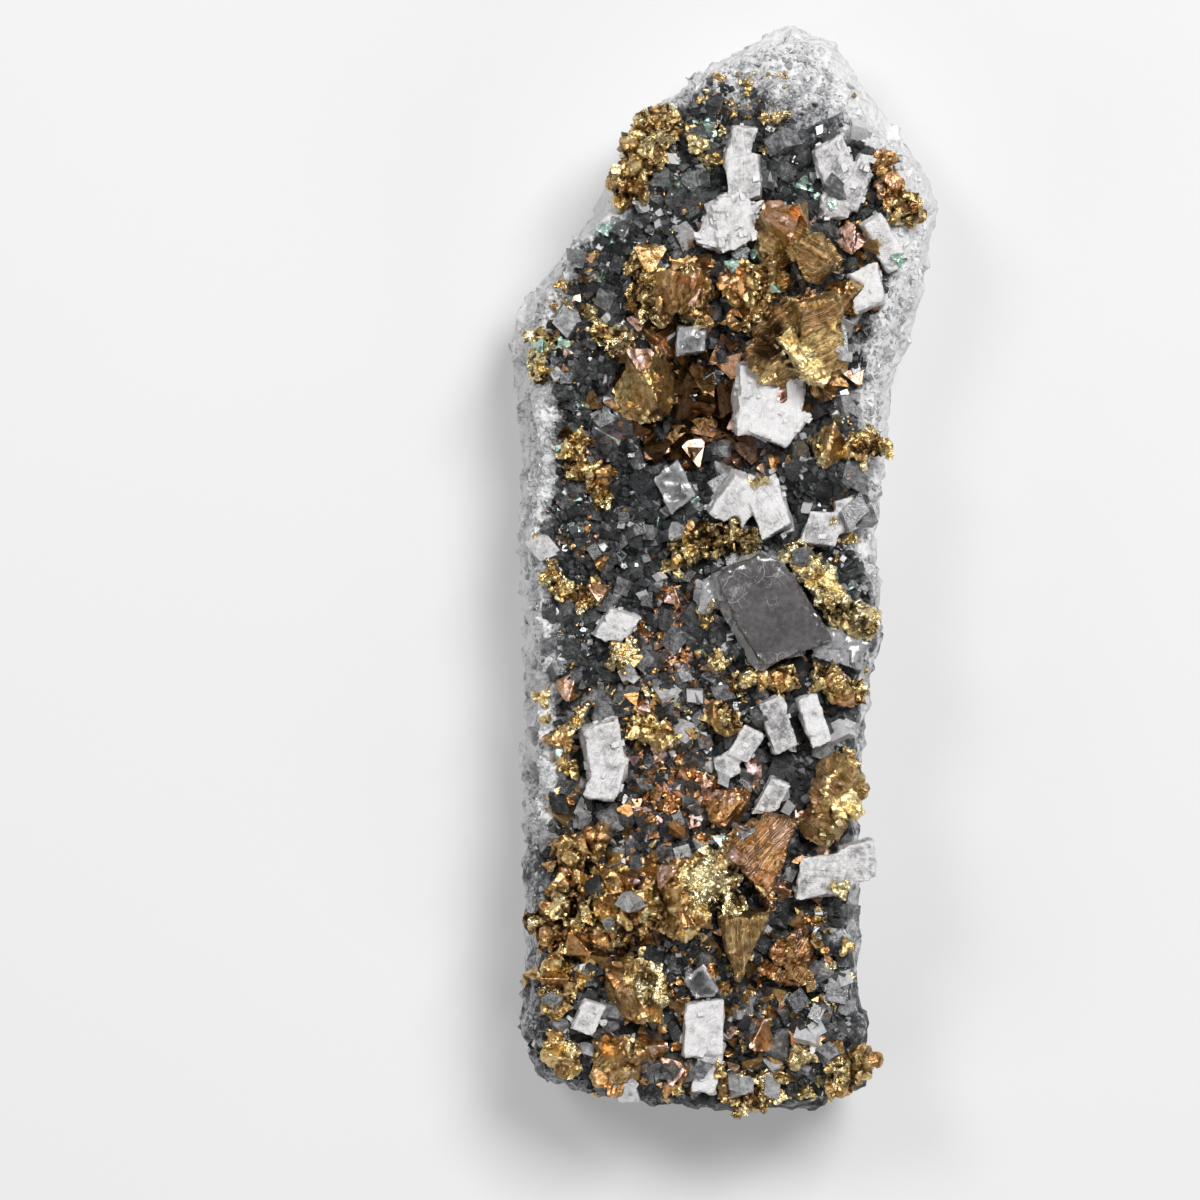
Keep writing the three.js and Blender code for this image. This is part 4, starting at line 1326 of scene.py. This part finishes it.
# Where single small metal crystals stand and how large they look: (x, y, size) in millimetres.
COPPER_TETRAHEDRA = [
    (-2.2, 25.2, 1.6), (-2.5, 23.7, 1.5), (-2.4, 22.1, 1.7), (-5.5, 19.7, 2.2), (-7.3, 18.3, 2.1),
    (-9, 18.7, 1.7), (0.1, 15.8, 1.4), (-6.9, 12.1, 1.8), (-5.7, 10.2, 2.1), (-0.6, 11.7, 2.3),
    (1.8, 10.9, 2.1), (-2.4, 9.3, 1.6), (1.9, 9.3, 1.9), (5.5, 29.8, 3.2), (4.8, 31.5, 1.8),
    (6.9, 31.1, 2), (8.1, 30.4, 1.2), (11.4, 28.9, 2.2), (3.7, 8.6, 1), (-4.1, -2.7, 1.7),
    (-6.9, -5.9, 1.2), (-10.8, -2.3, 1.8), (-12.1, -2.6, 1.4), (-6.6, -12.5, 1.1), (-7.3, -12.9, 1.1),
    (-11.4, -10.6, 1.3), (-13.2, -10.7, 1.8), (-5.7, -16.5, 1.6), (-5.5, -20, 1.3), (-4, -19.9, 1.4),
    (3.3, -17.7, 2), (3.1, -19.4, 1), (1.1, -25.2, 1.8), (-4.7, -27.2, 1.8), (-7.2, -21.7, 1.4),
    (-9.9, -21.9, 1.3), (-13.5, -21.3, 0.9), (-8.1, -27.5, 1.6), (-6.9, -27.4, 1.4), (5.5, -28.5, 1.4),
    (3.3, -41.5, 2.4), (3.8, -36.7, 1.2), (-10.3, -42.4, 1.8), (-6.3, -42.3, 2.6), (-4.2, -44.5, 2),
    (-2.6, -6.2, 1.4), (5.4, 14.7, 2.6),
]

BRONZE_TETRAHEDRA = [
    (-6.3, 21, 2), (0.2, 21.6, 1), (-1.1, 15.7, 2.4), (-3.7, 11.8, 2.2), (9.2, 15.7, 2.2),
    (10.4, 16.2, 1.5), (4.8, 9.1, 1.3), (6.4, 9.1, 1.4), (13.5, 28.2, 1.6), (-6.2, 26.9, 2.4),
    (-3.1, 26.8, 2.1), (-1.1, 26.8, 1.8), (-4, 24.5, 3), (-2.5, 3.3, 1.2), (-10.4, 0.4, 1.5),
    (-5.7, -25.9, 1.8), (6.2, -45, 1.8), (2.6, -37.5, 1.2), (4.1, -38, 1.2), (7, -37.3, 1.2),
    (-14.5, -36.3, 2), (-12.3, -36.9, 1.4), (-12.5, -33.1, 2.4), (-16.3, -36, 1.2), (-17, -37.1, 1.2),
    (-3.3, -38.8, 1.6),
]

BRASS_NUGGETS = [
    (0.3, 14.8, 1.2), (-0.3, 39.9, 1.7), (-1.9, 37.2, 1.7), (-0.7, 35.9, 2), (0.3, 43.4, 1.7),
    (4, 36.6, 2.2), (5.3, 39.7, 1.5), (11.9, 41.7, 1.1), (2.6, 42.6, 1), (12.8, 29.3, 1),
    (-13.5, 23, 1.2), (-11.2, 27.6, 1.5), (-13.9, 24.9, 0.9), (-11.2, 22.5, 1.2), (3.3, 7, 2.8),
    (10.4, 6.1, 1.6), (11.7, 6.1, 1.2), (11.4, 2.6, 1.6), (10.1, 4, 1.2), (-4.4, -0.5, 2.6),
    (-0.7, -3.4, 1.4), (-1.3, -4.8, 1.7), (-0.2, -8.5, 2), (12.9, -9.2, 1.1), (-16, 2.3, 1.3),
    (-15.7, -11.6, 1.5), (-15.1, -13.7, 1.7), (-13.8, -17.5, 1.9), (-6.4, -10.7, 1.2), (-2.8, -12.7, 1),
    (7.2, -15.5, 1.2), (11.3, -16.5, 1.5), (10.6, -28.2, 1.4), (-14.7, -21, 2.3), (-8.6, -22.5, 0.9),
    (9.7, -35.3, 1.5), (11.4, -36.3, 1.2), (11, -33.5, 1.2), (7.9, -38.8, 1.4), (7, -43.2, 1.8),
    (-0.2, -44.4, 1.6), (7.7, -46.4, 1.7), (5.3, -46.8, 1.2), (-15.7, -37.8, 1.4), (-10.8, -46.8, 1.4),
    (-4.8, -47, 1.4),
]

TEAL_TETRAHEDRA = [
    (1.1, 26.5, 1), (3.1, 27.4, 1.1), (4.8, 24.3, 0.8), (-10, 29.7, 1.3), (-9.1, 29.7, 1),
    (-9.5, 28.7, 1.2), (-3.8, 33.8, 1.5), (-4, 32.5, 1), (-1.1, 38.6, 1.5), (-10.6, 25.4, 1.2),
    (7.4, 33.5, 1.7), (8.4, 32.7, 0.8), (9.9, 31.8, 0.8), (15.6, 27.1, 1), (15.9, 26.7, 0.9),
    (-12.1, 14.3, 1.3), (-13.8, 19.7, 1.4), (-15.7, 19.4, 1), (-5.5, 3.8, 0.9), (-2, 5.6, 1.2),
    (11.6, -1.8, 0.9), (-1.6, -7.4, 1), (9.5, -12.2, 1), (-10.6, -34.1, 0.9),
]

VIOLET_TETRAHEDRA = [
    (-7.2, 25.9, 0.6), (-8.1, 24.9, 0.7), (-9.7, 11.3, 2.4), (-9.9, 13.9, 0.9), (-9.7, 16.6, 1.1),
    (-9.5, 0.6, 0.5), (-12.5, -1, 0.6), (-14.1, -16.4, 0.7), (-6.1, -5.4, 0.9), (0, -24.1, 1.1),
    (2.2, -23.5, 1.3),
]

GROWTHS = {
    "copper_tetrahedra": Growth("twin", (0.46, 0.56), 0.0, "copper_chalcopyrite", COPPER_TETRAHEDRA),
    "bronze_tetrahedra": Growth("twin", (0.3, 0.42), 0.25, "brassy_chalcopyrite", BRONZE_TETRAHEDRA),
    "brass_nuggets": Growth("nugget", (0.02, 0.2), 0.9, "brassy_chalcopyrite", BRASS_NUGGETS),
    "teal_tetrahedra": Growth("twin", (1.0, 1.1), 0.2, "copper_chalcopyrite", TEAL_TETRAHEDRA),
    "violet_tetrahedra": Growth("twin", (0.72, 0.86), 0.2, "copper_chalcopyrite", VIOLET_TETRAHEDRA),
}

# Half-clear rhombs: (x, y, size, tone), from dark at 0 to white at 1.
CLEAR_RHOMBS = [
    (-3.1, 29.1, 2.2, 0.7), (-5.3, 34, 2, 0.5), (-2.2, 34.2, 1.8, 0.5), (-6.9, 31.8, 1.2, 0.75),
    (-9.2, 27.4, 1.3, 0.65), (-12.6, 27.4, 1.7, 0.5), (12.3, 38.6, 2, 0.9), (9.9, 33.4, 2, 0.45),
    (9.4, 29.8, 1.8, 0.4), (5.9, 35, 2.2, 0.45), (7, 37.3, 2, 0.4), (-3.1, 15.3, 1.6, 0.7),
    (-2, 17.5, 1.2, 0.5), (-0.9, 20.8, 1.4, 0.35), (10.8, 18.4, 1.3, 0.75), (11.3, 21.4, 2, 0.8),
    (11.4, 14.3, 2.2, 0.7), (-13.5, 21.5, 2, 0.55), (-10.3, 13, 1.6, 0.4), (-9.4, 3, 1.2, 0.6),
    (-3.8, 3.2, 1.3, 0.75), (-15.7, 1.6, 2.4, 0.8), (10.3, 8, 1.6, 0.25), (12.3, 8.4, 2.2, 0.6),
    (7.2, 0.7, 1.4, 0.4), (11.6, -0.6, 2, 0.3), (11.6, 4.7, 2.4, 0.5), (-8.5, -1.8, 1.5, 0.55),
    (-10.3, -3.3, 1.8, 0.5), (-3.5, -6.5, 1.6, 0.6), (-4.4, -4.8, 2, 0.3), (-8.2, -9.2, 1.5, 0.75),
    (-9.9, -9.4, 1.5, 0.3), (-10.6, -11.6, 2, 0.5), (-8.6, -11.6, 1.6, 0.5), (-7.7, -10.9, 1.4, 0.4),
    (-4.8, -11.5, 2, 0.8), (-15.8, -10.2, 1.6, 0.7), (-16, -15.1, 1.5, 0.7), (-16.2, -18.2, 1.4, 0.75),
    (-14.1, -9.3, 1.6, 0.35), (-15.1, -7.2, 1.6, 0.5), (-15, -4.1, 1.6, 0.3), (0.3, -11.4, 2.2, 0.45),
    (3.7, -13.4, 2, 0.4), (-3.3, -14.6, 2, 0.8), (0.3, -18.8, 1.2, 0.7), (5.1, -18, 2.4, 0.3),
    (10.6, -14.6, 1.8, 0.9), (9.1, -15.9, 2, 0.6), (-5.1, -25.2, 1.8, 0.45), (-3.5, -24.8, 1.6, 0.35),
    (-1.9, -24.7, 1.2, 0.7), (-5.9, -21.6, 1.2, 0.3), (-12.1, -21.3, 1.7, 0.8),
    (-12.1, -22.2, 1.5, 0.6), (-15.2, -24.1, 1.8, 0.65), (-8.8, -25.4, 1.8, 0.7),
    (-11, -28.3, 1.8, 0.1), (-7.9, -29.4, 1.7, 0.65), (-9.7, -31.4, 1.2, 0.6), (5.1, -31.4, 1.6, 0.35),
    (7.7, -31.8, 2, 0.4), (11.4, -30.5, 1.6, 0.5), (9.9, -37, 1.8, 0.85), (10.7, -36.6, 1.4, 0.8),
    (10.8, -34.9, 1.6, 0.45), (2.8, -38.6, 1.4, 0.65), (1.8, -39.5, 1.2, 0.6), (7.9, -41.4, 2.2, 0.85),
    (0.9, -41.5, 1.2, 0.75), (5.3, -42.4, 2.4, 0.45), (7.5, -44.2, 1.4, 0.75), (9.7, -40.7, 1.2, 0.5),
    (9.5, -43, 1.6, 0.5), (4.6, -44.2, 2, 0.75), (4.7, -45.7, 1.6, 0.7), (1.9, -45.9, 1.8, 0.65),
    (-1.5, -44.2, 1.4, 0.5), (-14.8, -38, 1.4, 0.55), (-11.7, -37.9, 1.4, 0.2),
    (-14.1, -40.6, 1.3, 0.5), (-9.9, -40.4, 1.4, 0.6), (-11.6, -42.8, 1.4, 0.7), (-6, -44.6, 2, 0.45),
    (-1.3, -34.8, 1.3, 0.4), (-12.6, -45.7, 1.2, 0.7), (-8.2, -46.2, 2.0, 0.85),
]

# Bright unworn bars that face the light: (x, y, width, length, heading in degrees).
GOLD_BARS = [
    (10.9, -20.2, 1.5, 4.4, 36),
    (9.9, -20.9, 0.8, 3.4, 32),
    (9.8, -1.9, 1.1, 2.6, 42),
    (6.9, 18.3, 1.4, 5.0, 36),
    (8.3, 16.6, 1.2, 2.4, 60),
]
BAR_LEAN = (math.radians(-6), math.radians(6), 0)
BAR_THICKNESS = 1.3
BAR_SUNK = 0.35

# A crystal is larger than it looks by this factor, because most are tilted.
LOOK_TO_SIZE = 1.1

# How far the half-clear rhombs lean from upright, in degrees.
RHOMB_LEAN = 30


class Seats:
    """What lies highest at a place, among the pieces that carry small crystals."""

    def __init__(self, pieces):
        graph = bpy.context.evaluated_depsgraph_get()
        self.trees = [BVHTree.FromObject(piece, graph) for piece in pieces]

    def under(self, x, y):
        start = Vector((x * MM, y * MM, 1))
        hits = [tree.ray_cast(start, Vector((0, 0, -1)))[0] for tree in self.trees]
        return max(hit.z for hit in hits if hit) / MM

    def places(self, rows, lift):
        """The middles of crystals, which stand a share of their size over their seat."""
        return np.array([(x, y, self.under(x, y) + lift * size) for x, y, size, *_ in rows])


def grow_bars(seats, brass):
    chance = np.random.default_rng(BAR_SEED)
    sizes = np.array([(wide, long, BAR_THICKNESS) for _, _, wide, long, _ in GOLD_BARS])
    places = seats.places(GOLD_BARS, 0.0) - (0, 0, BAR_SUNK)
    turned = [math.radians(heading) for *_, heading in GOLD_BARS]
    leaned = Euler(BAR_LEAN).to_matrix()
    frames = np.array([leaned @ Euler((0, 0, turn)).to_matrix() for turn in turned]) * sizes[:, None]
    shape, outward = fine_skin(placed(chance, FORMS["block"], places, frames), BAR_VOXEL)
    worn = facets(shape.corners, 1.2, seed=137)[0] * 0.32 + facets(shape.corners, 0.5, seed=138)[0] * 0.3
    shape = raised(shape, outward, worn)
    shape.marked(hackly=0.4, tarnish=0.1, ridged=0, across=0, edge=0, crease=0)
    add_piece("gold_bars", shape, brass, "brassy_chalcopyrite", crease=SMALL_CREASE)


def grow_in_place(seats, brass, clear):
    chance = np.random.default_rng(PLACE_SEED)
    for name, growth in GROWTHS.items():
        sizes = np.array([size for _, _, size in growth.places]) * LOOK_TO_SIZE
        tarnish = chance.uniform(*growth.tarnish, len(sizes))
        places = seats.places(growth.places, 0.05)
        crystals = metal_copies(chance, FORMS[growth.form], places, sizes, tarnish, growth.hackly)
        add_piece(name, crystals, brass, growth.slot, crease=SMALL_CREASE)
    sizes, tone = np.array(CLEAR_RHOMBS).T[2:]
    places = seats.places(CLEAR_RHOMBS, 0.0)
    beside = places + chance.uniform(-0.45, 0.45, places.shape) * sizes[:, None] * (1, 1, 0.3)
    places = np.concatenate([places, beside])
    sizes = np.concatenate([sizes * 0.85, sizes * chance.uniform(0.4, 0.65, len(sizes))])
    rhombs = grown(chance, FORMS["framed_rhomb"], places, sizes, RHOMB_LEAN, tone=np.tile(tone, 2))
    add_piece("clear_rhombs", rhombs, clear, "grey_crystal")


# ---------------------------------------------------------------- dolomite, quartz and calcite


def stepped(points, direction, spacing, seed):
    """Low cleavage steps across a direction."""
    along = points @ np.array(direction) + 0.35 * soft_noise(points, 2.2, seed)
    return np.mod(along / spacing, 1.0) ** 3


def area_vector(corners):
    """The outward direction of a flat face, as long as its area is large."""
    return np.cross(corners[1:-1] - corners[0], corners[2:] - corners[0]).sum(0) / 2


def cleavage_plates(solid, chance, density, thickest):
    """Thin plates that lie along a solid's own faces, so that they end in low steps."""
    places = []
    frames = []
    for ring in rings(solid):
        corners = solid.corners[ring]
        edges = np.roll(corners, -1, axis=0) - corners
        area = area_vector(corners)
        extent = np.linalg.norm(area)
        normal = area / extent
        if normal[2] < -0.3:
            continue
        order = np.argsort(-np.linalg.norm(edges, axis=1))
        first = edges[order[0]] / np.linalg.norm(edges[order[0]])
        others = [edges[i] / np.linalg.norm(edges[i]) for i in order[1:]]
        second = min(others, key=lambda edge: abs(edge @ first))
        widest = min(1.0, math.sqrt(extent) * 0.5)
        count = int(extent * density + chance.random())
        for share in chance.dirichlet(np.full(len(ring), 0.8), count):
            wide, long = chance.uniform(0.35, 1.3, 2) * widest
            thick = chance.uniform(0.1, thickest)
            places.append(share @ corners)
            frames.append(np.array([first * wide, second * long, normal * thick * 2]).T)
    return np.array(places), np.array(frames)


def cleaved_skin(solid, wear, seed):
    """A pale crystal's skin with cleavage steps, chips and notched edges."""
    shape, outward = fine_skin(solid, PALE_VOXEL)
    points = shape.corners
    edge = edge_nearness(points, solid, 0.6)
    chips = facets(points, 1.7, seed)[0] * 0.09 * wear
    notches = edge * ramp(layered_noise(points, 1.5, seed + 1), 0.2, 0.24) * 0.14 * wear
    chance = np.random.default_rng(seed)
    heading = chance.uniform(0, math.pi)
    steps = 0
    for turn in (0, 1.8):
        direction = (math.cos(heading + turn), math.sin(heading + turn), 0.3)
        steps = steps + stepped(points, direction, chance.uniform(1.3, 2.6), seed + 2)
    across = points @ np.array([math.cos(heading), math.sin(heading), 0.5])
    height = chips - notches + 0.08 * steps - 0.08
    return raised(shape, outward, height).marked(edge=edge, across=across)


def parallel_grains(solid, chance, density):
    """Small blocks grown over a crystal in parallel, in the directions of its own edges."""
    places, frames = cleavage_plates(solid, chance, density, 0.5)
    return placed(chance, FORMS["block"], places, frames * 0.55)


# How white pale crystals and their grains are, from 0 to 1.
CRYSTAL_TONES = (0.3, 0.8)
GRAIN_TONES = (0.5, 0.95)

# How worn most pale crystals are and how many grains a square millimetre of them carries, and the
# crystals that differ.
COMMON_WEAR = (1.0, 0.06)
WEAR = {
    "dolomite_milky_lump": (2.4, 0.5),
    "dolomite_block_left": (1.8, 0.1),
    "dolomite_block_centre": (1.9, 0.12),
    "dolomite_blades_upper_right": (1.6, 0.35),
    "dolomite_rhomb_left": (1.4, 0.2),
    "quartz_knob_centre": (1.2, 0.0),
}


def make_pale_crystals():
    finishes = {"white_dolomite": dolomite_finish(), "grey_crystal": grey_crystal_finish()}
    chance = np.random.default_rng(PALE_SEED)
    made = []
    nodes = [n for n in frame["nodes"] if not n.startswith(("rock", "chalcopyrite", "calcite"))]
    for number, node in enumerate(sorted(nodes)):
        slot = slot_of(node)
        solid = solid_of(node)
        wear, density = WEAR.get(node, COMMON_WEAR)
        skin = cleaved_skin(solid, wear, 300 + 10 * number)
        parts = [skin.marked(tone=chance.uniform(*CRYSTAL_TONES))]
        if density:
            grains = parallel_grains(solid, chance, density)
            parts.append(grains.marked(tone=chance.uniform(*GRAIN_TONES), edge=0.4, across=0))
        shape = joined(parts)
        name = "cleaved_" + node
        made.append(add_piece(name, shape, finishes[slot], slot, [node], DOLOMITE_CREASE))
    return made


def broad_face(solid):
    """The middle and the outward direction of a solid's largest face."""
    best = (0, None, None)
    for ring in rings(solid):
        corners = solid.corners[ring]
        area = area_vector(corners)
        size = np.linalg.norm(area)
        if size > best[0] and area[2] > 0:
            best = (size, corners.mean(0), area / size)
    return best[1:]


# Where the tablet's healed cracks gather: the middles and the reaches of the places, in millimetres.
VEINS = ((0.7, -2.4, 1.9, 2.4), (4.8, -0.4, 2.8, 1.5), (5.4, -8.4, 3.2, 1.1), (4.6, -3.2, 0.7, 0.7))


def make_tablet():
    solid = solid_of("calcite_tablet")
    shape, outward = fine_skin(solid, PALE_VOXEL)
    points = shape.corners
    middle, normal = broad_face(solid)
    sides = ramp((middle - points) @ normal, 0.25, 1.1)
    broken = ramp(layered_noise(points, 1.1, seed=703), 0.05, 0.4)
    notches = edge_nearness(points, solid, 0.6) * broken * 0.35
    flaws = facets(points, 1.8, seed=704)[0] * 0.3 * sides
    height = flaws - notches + layered_noise(points, 1.2, seed=701) * 0.04
    veined = sum(ellipse_weight(points, *place) for place in VEINS)
    shape = raised(shape, outward, height - 0.03).marked(pale=sides, veined=veined)
    smoky = calcite_finish()
    return add_piece("smoky_tablet", shape, smoky, "smoky_calcite", ["calcite_tablet"], TABLET_CREASE)


# ---------------------------------------------------------------- floor, light and camera

# Half the floor's width, in metres, and the two greys that it wavers between.
FLOOR_REACH = 1.5
FLOOR_GREYS = ((0.52, 0.52, 0.53), (0.54, 0.54, 0.54))


def make_floor():
    finish = Finish("pale_floor")
    material = finish.done(
        Base_Color=finish.mix(finish.noise(60, detail=2), *FLOOR_GREYS),
        Roughness=0.7,
        Emission_Color=(1, 1, 1, 1),
        Emission_Strength=0.2,
    )
    floor = bmesh.new()
    bmesh.ops.create_grid(floor, x_segments=1, y_segments=1, size=FLOOR_REACH)
    mesh = bpy.data.meshes.new("floor")
    floor.to_mesh(mesh)
    floor.free()
    piece = bpy.data.objects.new("floor", mesh)
    bpy.context.scene.collection.objects.link(piece)
    mesh.materials.append(material)
    piece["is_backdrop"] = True


# Soft square lights that face the specimen: place and width in metres, and power in watts.
LIGHTS = {
    "key": ((0.22, 0.3, 0.72), 0.28, 6.0),
    "upper_left": ((-0.34, 0.28, 0.68), 0.22, 1.7),
    "lower_right": ((0.4, -0.5, 0.4), 0.35, 0.9),
    "lower_left": ((-0.55, -0.25, 0.4), 0.3, 0.7),
}
ROOM_COLOUR = (0.97, 0.98, 1.0)
ROOM_STRENGTH = 0.11


def make_lights():
    for name, (place, width, power) in LIGHTS.items():
        light = bpy.data.lights.new(name, "AREA")
        light.shape = "SQUARE"
        light.size = width
        light.energy = power
        lamp = bpy.data.objects.new(name, light)
        lamp.location = place
        aim = Vector((0, 0, CROWN_HEIGHT * MM)) - lamp.location
        lamp.rotation_euler = aim.to_track_quat("-Z", "Y").to_euler()
        bpy.context.scene.collection.objects.link(lamp)
    world = bpy.data.worlds.new("studio")
    world.use_nodes = True
    background = world.node_tree.nodes["Background"]
    background.inputs["Color"].default_value = (*ROOM_COLOUR, 1)
    background.inputs["Strength"].default_value = ROOM_STRENGTH
    bpy.context.scene.world = world


def make_camera():
    lens = bpy.data.cameras.new("camera")
    lens.lens = LENS
    lens.sensor_width = SENSOR
    lens.clip_start = 0.01
    camera = bpy.data.objects.new("camera", lens)
    distance = VIEW_WIDTH * LENS / SENSOR
    camera.location = (VIEW_CENTRE[0] * MM, VIEW_CENTRE[1] * MM, (CROWN_HEIGHT + distance) * MM)
    bpy.context.scene.collection.objects.link(camera)
    bpy.context.scene.camera = camera


def write_sizes():
    boxes = {"cad": CAD_BOX, "visual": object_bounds()}
    plain = {name: [list(map(float, corner)) for corner in box] for name, box in boxes.items()}


make_camera()
make_lights()
make_floor()
rock, ground, front = make_rock()
clear = clear_rhomb_finish()
make_druse(ground, front, clear)
brass = chalcopyrite_finish()
carriers = [rock, make_tablet()] + make_chalcopyrite(brass) + make_pale_crystals()
make_patches(ground, front, brass)
seats = Seats(carriers)
grow_in_place(seats, brass, clear)
grow_bars(seats, brass)
bpy.context.scene.view_settings.view_transform = "Standard"
write_sizes()
